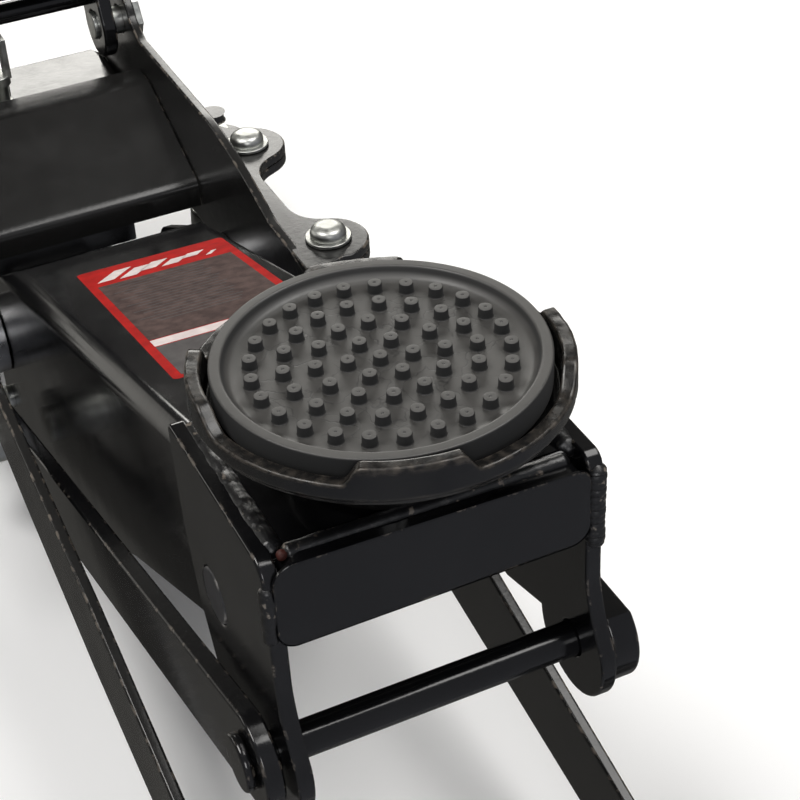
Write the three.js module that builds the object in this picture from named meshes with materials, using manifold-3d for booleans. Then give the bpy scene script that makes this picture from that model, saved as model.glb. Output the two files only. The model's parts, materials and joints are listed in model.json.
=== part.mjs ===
// Hydraulic trolley jack. Millimetres, +Z up, +X from the handle to the saddle. Right and left are as
// seen from the saddle end, with right at +Y. Z = 0 is the ground under the rollers and casters.
import * as THREE from "three";
import { mergeVertices } from "three/addons/utils/BufferGeometryUtils.js";
import Module from "manifold-3d";

// ---------------------------------------------------------------- driving dimensions
const gap = 0.3; // clearance between pieces that touch
const ground = 0;

const saddle = { x: 0, top: 290, radius: 62, wall: 5, floor: -8.3, lugTop: 1.5, rimTop: -5 };
const lugs = { count: 4, span: 34, first: -16 }; // degrees round the saddle
const pad = { radius: 54.4, floor: -2.3, rim: 2, base: -8 };

const headPin = { x: -18, z: 200, radius: 10.5 }; // lift arm to saddle bracket
const levelPin = { x: 28, z: 168, radius: 6.5 }; // levelling link to saddle bracket
const armPin = { x: -388, z: 84, radius: 13 }; // lift arm to frame
const head = { half: 59.5, plate: 6, front: 40, rear: -47, top: 255 };

const arm = { half: 52.5, wall: 5, top: 47, belly: -51.5, corner: 8 };
const lever = { length: 45, tilt: 7.5, roller: 12 }; // the ram pushes this roller below the arm pivot

const link = { inner: 62, outer: 69, half: 18 }; // flat bar on the left side
const frame = { inner: 77, outer: 82, top: 148, crest: 168, rear: -600, rearLow: 90, flange: 5 };
const axle = { x: 85, z: 38, radius: 10, end: 122 };
const roller = { radius: 38, inner: 86, outer: 114 };
const caster = { x: -455, y: 98, radius: 25, trail: 14, width: 20 };
const lobes = [-291, -400]; // x of the vertical bolts through the frame's top flanges

const tieBolt = { x: -500, z: 126 };
const blockBolts = [
  { x: -590, z: 100 },
  { x: -590, z: 119 },
];

const ram = { z: 46, radius: 15 };
const block = { rear: -600, front: -530 };
const tank = { rear: -528, front: -452, top: 110 };
const cover = { front: -426, low: 104, bend: 118, rear: -516, high: 149, wall: 3 };
const filler = { x: -470, y: 0 };
const yoke = { x: -545, z: 168, lean: 15, half: 70 };
const pump = { crank: 22, angle: 150 }; // pump bar's distance and direction from the yoke pivot
const handle = { radius: 19, wall: 2.5, start: 36, split: 420, end: 760 };

// Radii of the smaller pins, bolts and rods.
const pins = { yoke: 8, link: 7, tie: 8, roller: 6, king: 6, caster: 4, flange: 5, block: 5 };
const rods = { piston: 7, stem: 6, release: 6, screw: 4 };

// ---------------------------------------------------------------- worked out
const radians = THREE.MathUtils.degToRad;
const armLength = Math.hypot(headPin.x - armPin.x, headPin.z - armPin.z);
const armAngle = Math.atan2(headPin.z - armPin.z, headPin.x - armPin.x);
const linkPin = { x: armPin.x + levelPin.x - headPin.x, z: armPin.z + levelPin.z - headPin.z };
const leverAngle = -Math.PI / 2 - radians(lever.tilt) - armAngle; // in the arm's own frame
const leverEnd = { x: lever.length * Math.cos(leverAngle), z: lever.length * Math.sin(leverAngle) };
const pumpBar = {
  x: yoke.x + pump.crank * Math.cos(radians(pump.angle)),
  z: yoke.z + pump.crank * Math.sin(radians(pump.angle)),
};
const pistonX = pumpBar.x - 1; // the pump bar pushes a little off the piston's centre

const wasm = await Module();
wasm.setup();

// ---------------------------------------------------------------- geometry helpers
// One closed indexed mesh: shared corners merged and zero-area triangles dropped.
function closed(geometry) {
  const bare = geometry.clone();
  bare.deleteAttribute("normal");
  bare.deleteAttribute("uv");
  const merged = mergeVertices(bare, 1e-4);
  const index = merged.index.array;
  const kept = [];
  for (let i = 0; i < index.length; i += 3) {
    const [a, b, c] = index.slice(i, i + 3);
    if (a !== b && b !== c && c !== a) kept.push(a, b, c);
  }
  merged.setIndex(kept);
  return merged;
}

function toManifold(geometry) {
  const mesh = closed(geometry);
  const vertProperties = new Float32Array(mesh.attributes.position.array);
  const triVerts = new Uint32Array(mesh.index.array);
  return new wasm.Manifold(new wasm.Mesh({ numProp: 3, vertProperties, triVerts }));
}

function fromManifold(solid) {
  const mesh = solid.getMesh();
  const geometry = new THREE.BufferGeometry();
  geometry.setAttribute("position", new THREE.BufferAttribute(new Float32Array(mesh.vertProperties), 3));
  geometry.setIndex([...mesh.triVerts]);
  return geometry;
}

function join(first, ...rest) {
  return fromManifold(rest.reduce((sum, piece) => sum.add(toManifold(piece)), toManifold(first)));
}

function cut(first, ...tools) {
  return fromManifold(tools.reduce((rest, tool) => rest.subtract(toManifold(tool)), toManifold(first)));
}

function overlap(first, second) {
  return fromManifold(toManifold(first).intersect(toManifold(second)));
}

// The same piece on the other side of the jack's middle plane.
function mirrored(geometry) {
  const copy = closed(geometry).scale(1, -1, 1);
  const index = copy.index.array;
  for (let i = 0; i < index.length; i += 3) {
    [index[i + 1], index[i + 2]] = [index[i + 2], index[i + 1]];
  }
  return copy;
}

function box(x0, x1, y0, y1, z0, z1) {
  const geometry = new THREE.BoxGeometry(x1 - x0, y1 - y0, z1 - z0);
  return geometry.translate((x0 + x1) / 2, (y0 + y1) / 2, (z0 + z1) / 2);
}

// A round bar along one axis, from one coordinate to another; the centre's other coordinates are given.
function bar(axis, radius, from, to, centre, sides = 20) {
  const geometry = new THREE.CylinderGeometry(radius, radius, to - from, sides);
  const middle = (from + to) / 2;
  if (axis === "x") return geometry.rotateZ(-Math.PI / 2).translate(middle, centre.y, centre.z);
  if (axis === "y") return geometry.translate(centre.x, middle, centre.z);
  return geometry.rotateX(Math.PI / 2).translate(centre.x, centre.y, middle);
}

// A body turned about Z from [radius, height] points.
function turned(profile, sides = 32) {
  const points = profile.map(([radius, height]) => new THREE.Vector2(radius, height));
  return new THREE.LatheGeometry(points, sides).rotateX(Math.PI / 2);
}

// A flat piece whose outline lies in the X-Z plane, between two Y positions.
function upright(shape, y0, y1, curveSegments = 5) {
  const geometry = new THREE.ExtrudeGeometry(shape, { depth: y1 - y0, bevelEnabled: false, curveSegments });
  return geometry.rotateX(Math.PI / 2).translate(0, y1, 0);
}

// A flat piece whose outline lies in the X-Y plane, between two heights.
function level(shape, z0, z1, curveSegments = 4) {
  const geometry = new THREE.ExtrudeGeometry(shape, { depth: z1 - z0, bevelEnabled: false, curveSegments });
  return geometry.translate(0, 0, z0);
}

// A bar whose cross-section is drawn in the Y-Z plane, between two X positions.
function along(shape, x0, x1, curveSegments = 3) {
  const geometry = new THREE.ExtrudeGeometry(shape, { depth: x1 - x0, bevelEnabled: false, curveSegments });
  return geometry.rotateX(Math.PI / 2).rotateZ(Math.PI / 2).translate(x0, 0, 0);
}

function roundedRectangle(x0, x1, y0, y1, radius) {
  const shape = new THREE.Shape();
  shape.moveTo(x0 + radius, y0);
  shape.lineTo(x1 - radius, y0);
  shape.absarc(x1 - radius, y0 + radius, radius, -Math.PI / 2, 0);
  shape.lineTo(x1, y1 - radius);
  shape.absarc(x1 - radius, y1 - radius, radius, 0, Math.PI / 2);
  shape.lineTo(x0 + radius, y1);
  shape.absarc(x0 + radius, y1 - radius, radius, Math.PI / 2, Math.PI);
  shape.lineTo(x0, y0 + radius);
  shape.absarc(x0 + radius, y0 + radius, radius, Math.PI, 1.5 * Math.PI);
  return shape;
}

// ---------------------------------------------------------------- materials
function finish(color, roughness, metalness) {
  return () => new THREE.MeshStandardMaterial({ color, roughness, metalness });
}

const blackPaint = finish(0x0b0b0d, 0.22, 0.3);
const castIron = finish(0x121213, 0.38, 0.5);
const rubber = finish(0x1b1b1a, 0.75, 0);
const zinc = finish(0xaab0ae, 0.35, 0.9);
const bareSteel = finish(0x8b8d8f, 0.4, 0.9);
const wheelSteel = finish(0x1a1b1d, 0.45, 0.6);
const foam = finish(0x101010, 0.9, 0);

const jack = new THREE.Group();

function add(parent, name, geometry, material) {
  const mesh = new THREE.Mesh(closed(geometry), material());
  mesh.name = name;
  parent.add(mesh);
}

// ---------------------------------------------------------------- frame
function framePlateOutline() {
  const s = new THREE.Shape();
  s.moveTo(frame.rear, frame.rearLow);
  s.lineTo(armPin.x - 36, frame.rearLow);
  s.absarc(armPin.x, armPin.z, 27, radians(170), radians(285), false);
  s.absarc(linkPin.x, linkPin.z, 16, radians(210), radians(360), false);
  s.quadraticCurveTo(-322, 100, -298, 102);
  s.lineTo(-279, 102);
  s.quadraticCurveTo(-262, 98, -237, 89);
  s.lineTo(-146, 65);
  s.absarc(axle.x, axle.z, 17, radians(-104), radians(72), false);
  s.lineTo(-52, 92);
  s.lineTo(-131, 113);
  s.quadraticCurveTo(-240, 134, -290, frame.top);
  s.lineTo(-318, frame.top + 1);
  s.quadraticCurveTo(-372, frame.crest, -410, frame.crest);
  s.lineTo(yoke.x + 34, frame.crest);
  s.absarc(yoke.x, yoke.z, 22, radians(20), radians(200), false);
  s.lineTo(yoke.x - 30, frame.top);
  s.lineTo(frame.rear + 8, frame.top);
  s.quadraticCurveTo(frame.rear, frame.top, frame.rear, frame.top - 8);
  return s;
}

// Outward top flange: a narrow strip that swells into a round lobe at each vertical bolt.
function flangeOutline(inner, rear) {
  const waist = 92;
  const lobe = 20;
  const s = new THREE.Shape();
  s.moveTo(rear, inner);
  s.lineTo(lobes[0] + 32, inner);
  s.quadraticCurveTo(lobes[0] + 24, inner + 2, lobes[0] + 19, caster.y);
  s.absarc(lobes[0], caster.y, lobe, radians(10), radians(160), false);
  s.quadraticCurveTo(lobes[0] - 24, waist, lobes[0] - 40, waist);
  s.lineTo(lobes[1] + 40, waist);
  s.quadraticCurveTo(lobes[1] + 24, waist, lobes[1] + 19, caster.y + 7);
  s.absarc(lobes[1], caster.y, lobe, radians(20), radians(160), false);
  s.quadraticCurveTo(lobes[1] - 24, waist, lobes[1] - 36, waist);
  s.lineTo(rear, waist);
  return s;
}

function framePlate() {
  const plate = upright(framePlateOutline(), frame.inner, frame.outer);
  const flangeShape = flangeOutline(frame.inner + 0.5, frame.rear + 10);
  const flange = level(flangeShape, frame.top - frame.flange, frame.top);
  const through = { from: frame.inner - 5, to: frame.outer + 5 };
  const holes = [
    bar("y", axle.radius + gap, through.from, through.to, axle),
    bar("y", armPin.radius + gap, through.from, through.to, armPin),
    bar("y", pins.yoke + gap, through.from, through.to, yoke),
    bar("y", pins.tie + gap, through.from, through.to, tieBolt),
    ...blockBolts.map((bolt) => bar("y", pins.block + gap, through.from, through.to, bolt, 12)),
    ...lobes.map((x) => bar("z", pins.flange + gap, frame.top - 10, frame.top + 5, { x, y: caster.y }, 12)),
  ];
  return cut(join(plate, flange), ...holes);
}

function buildFrame(parent) {
  const plate = framePlate();
  const linkHole = bar("y", pins.link + gap, -frame.outer - 5, -frame.inner + 5, linkPin);
  add(parent, "frame_plate_left", cut(mirrored(plate), linkHole), blackPaint);
  add(parent, "frame_plate_right", plate, blackPaint);
  // The front axle has a head on the left and is riveted over outside the roller on the right.
  add(parent, "front_axle", join(
    bar("y", axle.radius, -axle.end, axle.end, axle),
    bar("y", 15, -axle.end, -roller.outer - gap, axle),
    bar("y", 15, roller.outer + gap, roller.outer + 4, axle),
  ), bareSteel);

  // A tie bolt with a six-sided head at each end holds the plates apart behind the arm.
  const tie = join(
    bar("y", pins.tie, -91, 91, tieBolt),
    bar("y", 12, frame.outer + gap, 89, tieBolt, 6),
    bar("y", 12, -89, -frame.outer - gap, tieBolt, 6),
    bar("y", 11, -frame.inner + gap, frame.inner - gap, tieBolt),
  );
  add(parent, "frame_tie_bolt", tie, zinc);
}

// ---------------------------------------------------------------- front rollers
function frontRoller() {
  const bore = axle.radius + 0.4;
  const hub = 17;
  const rim = roller.radius;
  const profile = [
    [bore, frame.outer + gap],
    [hub, frame.outer + gap],
    [hub, roller.inner + 4],
    [rim - 7, roller.inner + 4],
    [rim - 7, roller.inner],
    [rim, roller.inner],
    [rim, roller.outer],
    [rim - 7, roller.outer],
    [rim - 7, roller.outer - 4],
    [hub, roller.outer - 4],
    [hub, roller.outer],
    [bore, roller.outer],
    [bore, frame.outer + gap],
  ];
  return turned(profile).rotateX(-Math.PI / 2).translate(axle.x, 0, axle.z);
}

function buildFrontRollers(parent) {
  add(parent, "front_roller_left", mirrored(frontRoller()), wheelSteel);
  add(parent, "front_roller_right", frontRoller(), wheelSteel);
}

// ---------------------------------------------------------------- rear casters
function casterMount() {
  const plateTop = frame.top - frame.flange - gap;
  const inner = frame.outer + gap;
  const plate = level(flangeOutline(inner + 0.3, caster.x - 25), plateTop - 5, plateTop);
  const web = box(caster.x - 22, caster.x + 22, inner + 0.3, inner + 6, 98, plateTop - 1);
  const boss = cut(
    bar("z", 18, 84.4, 126, { x: caster.x, y: caster.y }),
    box(caster.x - 30, caster.x + 30, 0, inner + 0.3, 80, 200),
  );
  const bore = bar("z", pins.king + gap, 80, 140, { x: caster.x, y: caster.y });
  const boltHoles = lobes.map((x) => bar("z", pins.flange + gap, 120, 150, { x, y: caster.y }, 12));
  return cut(join(plate, web, boss), bore, ...boltHoles);
}

// Washer, round head and nut are one solid with the bolt.
function casterBolt(x) {
  const plateTop = frame.top - frame.flange - gap;
  const centre = { x, y: caster.y };
  return join(
    bar("z", pins.flange, plateTop - 14, frame.top + 2, centre, 16),
    bar("z", 11.5, frame.top + gap, frame.top + 2, centre),
    bar("z", 9, frame.top + 1.5, frame.top + 8, centre),
    bar("z", 8.5, plateTop - 12, plateTop - 5 - gap, centre, 6),
  );
}

function casterFork() {
  const disc = bar("z", 19, 76, 84, { x: 0, y: 0 });
  const kingpin = bar("z", pins.king, 83, 130, { x: 0, y: 0 });
  const nut = bar("z", 9, 126 + gap, 133, { x: 0, y: 0 }, 6);
  const leg = new THREE.Shape();
  leg.moveTo(-14, 78);
  leg.lineTo(-caster.trail - 9, caster.radius + 2);
  leg.absarc(-caster.trail, caster.radius, 9, radians(170), radians(375), false);
  leg.lineTo(13, 78);
  const near = caster.width / 2 + 2;
  const far = near + 4;
  const legs = [upright(leg, -far, -near), upright(leg, near, far)];
  const hole = bar("y", pins.caster + gap, -30, 30, { x: -caster.trail, z: caster.radius }, 20);
  return cut(join(disc, kingpin, nut, ...legs), hole);
}

function casterWheel() {
  const half = caster.width / 2;
  const rim = caster.radius;
  const bore = pins.caster + 0.4;
  const hub = 9;
  const profile = [
    [bore, -half - 1.5],
    [hub, -half - 1.5],
    [hub, -half],
    [rim - 2, -half],
    [rim, -half + 2],
    [rim, half - 2],
    [rim - 2, half],
    [hub, half],
    [hub, half + 1.5],
    [bore, half + 1.5],
    [bore, -half - 1.5],
  ];
  return turned(profile, 24).rotateX(-Math.PI / 2).translate(-caster.trail, 0, rim);
}

function casterAxle() {
  const end = caster.width / 2 + 6;
  const centre = { x: -caster.trail, z: caster.radius };
  return join(
    bar("y", pins.caster, -end - 3, end + 3, centre, 20),
    bar("y", 7, -end - 4, -end - gap, centre, 6),
    bar("y", 7, end + gap, end + 4, centre, 6),
  );
}

function buildCasters(parent) {
  for (const [side, sign] of [["left", -1], ["right", 1]]) {
    const place = (geometry) => (sign < 0 ? mirrored(geometry) : geometry);
    add(parent, `caster_mount_${side}`, place(casterMount()), blackPaint);
    add(parent, `caster_front_bolt_${side}`, place(casterBolt(lobes[0])), zinc);
    add(parent, `caster_rear_bolt_${side}`, place(casterBolt(lobes[1])), zinc);
    const swivel = new THREE.Group();
    swivel.position.set(caster.x, sign * caster.y, ground);
    parent.add(swivel);
    add(swivel, `caster_fork_${side}`, casterFork(), zinc);
    add(swivel, `caster_wheel_${side}`, casterWheel(), wheelSteel);
    add(swivel, `caster_axle_${side}`, casterAxle(), zinc);
  }
}

// ---------------------------------------------------------------- lift arm
function armOutline() {
  const s = new THREE.Shape();
  const neck = armLength - 34; // the web ends here, clear of the saddle bracket when the arm is down
  s.absarc(0, 0, 31, radians(110), radians(215), false);
  s.absarc(leverEnd.x, leverEnd.z, 16, radians(190), radians(330), false);
  s.quadraticCurveTo(10, arm.belly, 40, arm.belly);
  s.lineTo(200, arm.belly);
  s.quadraticCurveTo(212, arm.belly, 224, arm.belly + 3.5);
  s.absarc(armLength, 0, 22, radians(-95), radians(70), false);
  s.quadraticCurveTo(armLength - 14, 40, neck, arm.top);
  s.lineTo(92, arm.top);
  s.quadraticCurveTo(60, arm.top, 40, 38);
  return s;
}

// Inverted channel: two walls and a top web with rounded outer corners.
function armChannel() {
  const s = new THREE.Shape();
  const inner = arm.half - arm.wall;
  const low = -80;
  s.moveTo(-arm.half, low);
  s.lineTo(-inner, low);
  s.lineTo(-inner, arm.top - arm.wall);
  s.lineTo(inner, arm.top - arm.wall);
  s.lineTo(inner, low);
  s.lineTo(arm.half, low);
  s.lineTo(arm.half, arm.top - arm.corner);
  s.absarc(arm.half - arm.corner, arm.top - arm.corner, arm.corner, 0, Math.PI / 2);
  s.lineTo(-arm.half + arm.corner, arm.top);
  s.absarc(-arm.half + arm.corner, arm.top - arm.corner, arm.corner, Math.PI / 2, Math.PI);
  return along(s, -60, armLength + 40);
}

function buildArm(parent) {
  const wide = arm.half + 5;
  const inner = arm.half - arm.wall - gap;
  const pivot = { x: 0, z: 0 };
  const front = { x: armLength, z: 0 };
  const body = cut(
    overlap(armChannel(), upright(armOutline(), -wide, wide)),
    bar("y", armPin.radius + gap, -wide, wide, pivot),
    bar("y", headPin.radius + gap, -wide, wide, front),
    bar("y", pins.roller + gap, -wide, wide, leverEnd),
  );
  add(parent, "lift_arm", body, blackPaint);
  add(parent, "arm_bush", cut(
    bar("y", 19, -inner, inner, pivot),
    bar("y", armPin.radius + gap, -wide, wide, pivot),
  ), bareSteel);
  add(parent, "arm_roller_pin", bar("y", pins.roller, -arm.half - 3, arm.half + 3, leverEnd), zinc);
  add(parent, "arm_roller", cut(
    bar("y", lever.roller, -27, 27, leverEnd, 24),
    bar("y", pins.roller + gap, -30, 30, leverEnd),
  ), bareSteel);
}

function armSpacer() {
  const from = arm.half + gap;
  const to = frame.inner - gap;
  return cut(bar("y", 20, from, to, armPin), bar("y", armPin.radius + gap, 0, 100, armPin));
}

function armNut() {
  const from = frame.outer + gap;
  return cut(bar("y", 19, from, from + 9, armPin, 6), bar("y", armPin.radius + gap, 0, 120, armPin));
}

function armShaft() {
  const inner = frame.outer + gap;
  return join(bar("y", armPin.radius, -inner - 1, 94, armPin), bar("y", 19, -92, -inner, armPin, 6));
}

function buildArmPivot(parent) {
  add(parent, "arm_pivot_shaft", armShaft(), zinc);
  add(parent, "arm_spacer_left", mirrored(armSpacer()), bareSteel);
  add(parent, "arm_spacer_right", armSpacer(), bareSteel);
  add(parent, "arm_pivot_nut", armNut(), zinc);
}

// ---------------------------------------------------------------- saddle bracket
function headPlateOutline() {
  const s = new THREE.Shape();
  s.moveTo(-44.6, 214);
  s.lineTo(head.rear, head.top - 3);
  s.quadraticCurveTo(head.rear, head.top, head.rear + 3, head.top);
  s.lineTo(head.front - 8, head.top);
  s.quadraticCurveTo(head.front, head.top, head.front, head.top - 8);
  s.lineTo(head.front, 204);
  s.quadraticCurveTo(head.front + 1, 191, 48.5, 176);
  s.absarc(levelPin.x, levelPin.z, 22, radians(20), radians(-175), true);
  s.lineTo(-20, 159);
  s.lineTo(-26.4, 160);
  s.lineTo(-37.6, 183);
  return s;
}

function headPlate() {
  const inner = head.half - head.plate;
  const plate = upright(headPlateOutline(), inner, head.half, 8);
  const pivotHole = bar("y", headPin.radius + gap, inner - 5, head.half + 5, headPin, 28);
  const levelHole = bar("y", levelPin.radius + gap, inner - 5, head.half + 5, levelPin);
  return cut(plate, pivotHole, levelHole);
}

function headFrontPlate() {
  const half = head.half - head.plate - gap;
  const top = head.top - 3;
  const low = 220;
  const s = new THREE.Shape();
  s.moveTo(-half + 5, low);
  s.lineTo(half - 5, low);
  s.lineTo(half, low + 5);
  s.lineTo(half, top - 8);
  s.absarc(half - 8, top - 8, 8, 0, Math.PI / 2);
  s.lineTo(-half + 8, top);
  s.absarc(-half + 8, top - 8, 8, Math.PI / 2, Math.PI);
  s.lineTo(-half, low + 5);
  return along(s, head.front - 5, head.front - 0.5);
}

function headTopPlate() {
  const half = head.half - head.plate - gap;
  const plate = box(head.rear + 1, head.front - 5 - gap, -half, half, head.top - 8, head.top - 3);
  return cut(plate, bar("z", 15, head.top - 20, head.top + 5, { x: saddle.x, y: 0 }));
}

// Levelling pin: riveted over outside the link on the left, with a round head, flat on top, on the right.
function levellingPin() {
  const start = head.half + gap;
  const collar = cut(
    bar("y", 19, start, start + 11, levelPin, 28),
    box(0, 60, 50, 90, levelPin.z + 15, levelPin.z + 30),
  );
  return join(
    bar("y", levelPin.radius, -72, start + 1, levelPin, 28),
    bar("y", 10.5, -73, -link.outer - gap, levelPin, 28),
    collar,
  );
}

function buildHead(parent) {
  add(parent, "head_plate_left", mirrored(headPlate()), blackPaint);
  add(parent, "head_plate_right", headPlate(), blackPaint);
  add(parent, "head_front_plate", headFrontPlate(), blackPaint);
  add(parent, "head_top_plate", headTopPlate(), blackPaint);
  const pinEnd = head.half + 0.2;
  add(parent, "head_pivot_pin", bar("y", headPin.radius, -pinEnd, pinEnd, headPin, 28), bareSteel);
  add(parent, "levelling_pin", levellingPin(), blackPaint);
}

// ---------------------------------------------------------------- levelling link
function levellingLink() {
  const s = new THREE.Shape();
  s.absarc(0, 0, link.half, Math.PI / 2, 1.5 * Math.PI, false);
  s.absarc(armLength, 0, link.half, -Math.PI / 2, Math.PI / 2, false);
  const holes = [0, armLength].map((x) => bar("y", pins.link + gap, -80, -50, { x, z: 0 }, 24));
  return cut(upright(s, -link.outer, -link.inner, 8), ...holes);
}

function buildLink(parent) {
  const tilted = new THREE.Group();
  tilted.position.set(linkPin.x, 0, linkPin.z);
  tilted.rotation.y = -armAngle;
  parent.add(tilted);
  add(tilted, "levelling_link", levellingLink(), blackPaint);
  add(parent, "link_rear_pin", join(
    bar("y", pins.link, -frame.outer - 2, -link.inner + 2, linkPin),
    bar("y", 11.5, -frame.outer - 6, -frame.outer - gap, linkPin),
    bar("y", 11.5, -frame.inner + gap, -link.outer - gap, linkPin),
    bar("y", 10, -link.inner + gap, -link.inner + 3, linkPin),
  ), zinc);
}

// ---------------------------------------------------------------- saddle and pad
function saddleCup() {
  const outer = saddle.radius;
  const bore = outer - saddle.wall;
  const cup = turned([
    [0, -62],
    [14.4, -62],
    [14.4, -37.6],
    [32, -37.6],
    [32, -24],
    [52, -16.5],
    [outer - 1.6, -12.5],
    [outer, -10.5],
    [outer, saddle.rimTop],
    [bore, saddle.rimTop],
    [bore, saddle.floor],
    [0, saddle.floor],
  ], 40);
  const span = radians(lugs.span);
  const raised = Array.from({ length: lugs.count }, (_, i) => {
    const middle = radians(lugs.first + (i * 360) / lugs.count);
    const s = new THREE.Shape();
    s.absarc(0, 0, outer - 0.05, middle - span / 2, middle + span / 2, false);
    s.absarc(0, 0, bore + 0.05, middle + span / 2, middle - span / 2, true);
    return level(s, saddle.rimTop - 2, saddle.lugTop, 3);
  });
  return join(cup, ...raised);
}

// A rubber disc with a raised rim round a lower floor.
function saddlePad() {
  return turned([
    [0, pad.base],
    [pad.radius, pad.base],
    [pad.radius, pad.rim],
    [pad.radius - 7.5, pad.rim],
    [pad.radius - 8.5, pad.floor],
    [0, pad.floor],
  ], 40);
}

function saddleClip() {
  const ring = bar("z", 20, -48, -44.5 + gap, { x: 0, y: 0 });
  return cut(ring, bar("z", 14.4 + gap, -60, -40, { x: 0, y: 0 }));
}

function buildSaddle(parent) {
  const turntable = new THREE.Group();
  turntable.position.set(saddle.x, 0, saddle.top);
  parent.add(turntable);
  add(turntable, "saddle_cup", saddleCup(), castIron);
  add(turntable, "saddle_pad", saddlePad(), rubber);
  add(turntable, "saddle_clip", saddleClip(), zinc);
}

// ---------------------------------------------------------------- hydraulic power unit
function pumpBlock() {
  const s = new THREE.Shape();
  const wide = frame.inner - gap;
  s.moveTo(-36, 20);
  s.lineTo(36, 20);
  s.quadraticCurveTo(44, 20, 44, 28);
  s.lineTo(44, 66);
  s.lineTo(wide, 72);
  s.lineTo(wide, 124);
  s.lineTo(wide - 6, 128);
  s.lineTo(-wide + 6, 128);
  s.lineTo(-wide, 124);
  s.lineTo(-wide, 72);
  s.lineTo(-44, 66);
  s.lineTo(-44, 28);
  s.quadraticCurveTo(-44, 20, -36, 20);
  const boltHoles = blockBolts.map((bolt) => bar("y", pins.block + gap, -90, 90, bolt, 16));
  return cut(
    along(s, block.rear, block.front),
    bar("z", rods.piston + gap, 80, 140, { x: pistonX, y: 0 }),
    bar("z", rods.stem + gap, 100, 140, { x: yoke.x, y: 0 }),
    ...boltHoles,
  );
}

// A through bolt with a six-sided head at one end and its nut at the other.
function blockBolt(bolt) {
  const face = frame.outer + gap;
  return join(
    bar("y", pins.block, -face - 1, face + 10, bolt, 16),
    bar("y", 8.5, face, face + 7, bolt, 6),
    bar("y", 8.5, -face - 6, -face, bolt, 6),
  );
}

function reservoirCover() {
  const outer = roundedRectangle(-44, 44, 60, tank.top, 12);
  const inner = roundedRectangle(-41, 41, 50, tank.top - 3, 10);
  const shell = cut(along(outer, tank.rear, tank.front), along(inner, tank.rear + 3, tank.front - 3));
  const open = cut(shell, box(-560, -440, -60, 60, 40, 78));
  return cut(open, bar("z", 6.5, tank.top - 10, tank.top + 10, filler, 24));
}

// A bent sheet that slopes up between the frame plates, from behind the lift arm to the handle yoke.
function powerUnitCover() {
  const s = new THREE.Shape();
  s.moveTo(cover.front, cover.low);
  s.lineTo(cover.front, cover.bend - 4);
  s.quadraticCurveTo(cover.front, cover.bend, cover.front - 5, cover.bend + 2);
  s.lineTo(cover.rear + 20, cover.high - 1);
  s.quadraticCurveTo(cover.rear + 14, cover.high, cover.rear + 8, cover.high);
  s.lineTo(cover.rear, cover.high);
  s.lineTo(cover.rear, cover.high - cover.wall);
  s.lineTo(cover.rear + 8, cover.high - cover.wall);
  s.quadraticCurveTo(cover.rear + 14, cover.high - cover.wall, cover.rear + 20, cover.high - 1 - cover.wall);
  s.lineTo(cover.front - 5, cover.bend + 2 - cover.wall);
  s.quadraticCurveTo(cover.front - cover.wall, cover.bend - 1, cover.front - cover.wall, cover.bend - 4);
  s.lineTo(cover.front - cover.wall, cover.low);
  return upright(s, -frame.inner + gap, frame.inner - gap);
}

function buildPowerUnit(parent) {
  const centre = { y: 0, z: ram.z };
  const bore = ram.radius + 0.5;
  add(parent, "pump_block", pumpBlock(), castIron);
  add(parent, "block_bolt_lower", blockBolt(blockBolts[0]), zinc);
  add(parent, "block_bolt_upper", blockBolt(blockBolts[1]), zinc);
  add(parent, "lift_cylinder", cut(
    bar("x", 28, block.front + gap, -446, centre),
    bar("x", bore, -524, -440, centre),
  ), blackPaint);
  add(parent, "cylinder_gland", cut(
    bar("x", 25, -446 + gap, -438, centre, 8),
    bar("x", bore, -450, -430, centre),
  ), zinc);
  add(parent, "reservoir_cover", reservoirCover(), blackPaint);
  add(parent, "power_unit_cover", powerUnitCover(), blackPaint);
  add(parent, "filler_plug", join(
    bar("z", 6, tank.top - 9, tank.top + 1, filler),
    bar("z", 9, tank.top + gap, tank.top + 4, filler),
  ), foam);

  const contact = armPin.x - lever.length * Math.sin(radians(lever.tilt)) - lever.roller - 0.5;
  add(parent, "ram", bar("x", ram.radius, -508, contact - 14 - gap, centre), bareSteel);
  const headShape = roundedRectangle(-26, 26, 30, 60, 6);
  add(parent, "ram_head", along(headShape, contact - 14, contact), bareSteel);

  const piston = { x: pistonX, y: 0 };
  const pistonTop = pumpBar.z - 6 - 0.7;
  add(parent, "pump_barrel", cut(
    bar("z", 11, 128 + gap, 141, piston, 6),
    bar("z", rods.piston + gap, 120, 150, piston),
  ), zinc);
  add(parent, "pump_piston", join(
    bar("z", rods.piston, 112, pistonTop - 2, piston),
    bar("z", 8.5, pistonTop - 5, pistonTop, piston),
  ), bareSteel);
  const stem = { x: yoke.x, y: 0 };
  add(parent, "release_valve", join(
    bar("z", rods.stem, 104, 150, stem),
    bar("z", 8.5, 128 + gap, 135, stem, 6),
    bar("z", 8, 146, 152, stem),
    box(yoke.x - 5, yoke.x + 5, -8, -5, 150, 174),
    box(yoke.x - 5, yoke.x + 5, 5, 8, 150, 174),
  ), zinc);
}

// Return springs pull the roller pin back towards the pump block. Each is the outside of its coil.
function buildSprings(parent) {
  const height = armPin.z - lever.length * Math.cos(radians(lever.tilt));
  const pinX = armPin.x - lever.length * Math.sin(radians(lever.tilt));
  const coil = (y) => bar("x", 5.5, block.front + gap, pinX - pins.roller - gap, { y, z: height }, 12);
  add(parent, "return_spring_left", coil(-38), zinc);
  add(parent, "return_spring_right", coil(38), zinc);
}

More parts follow.
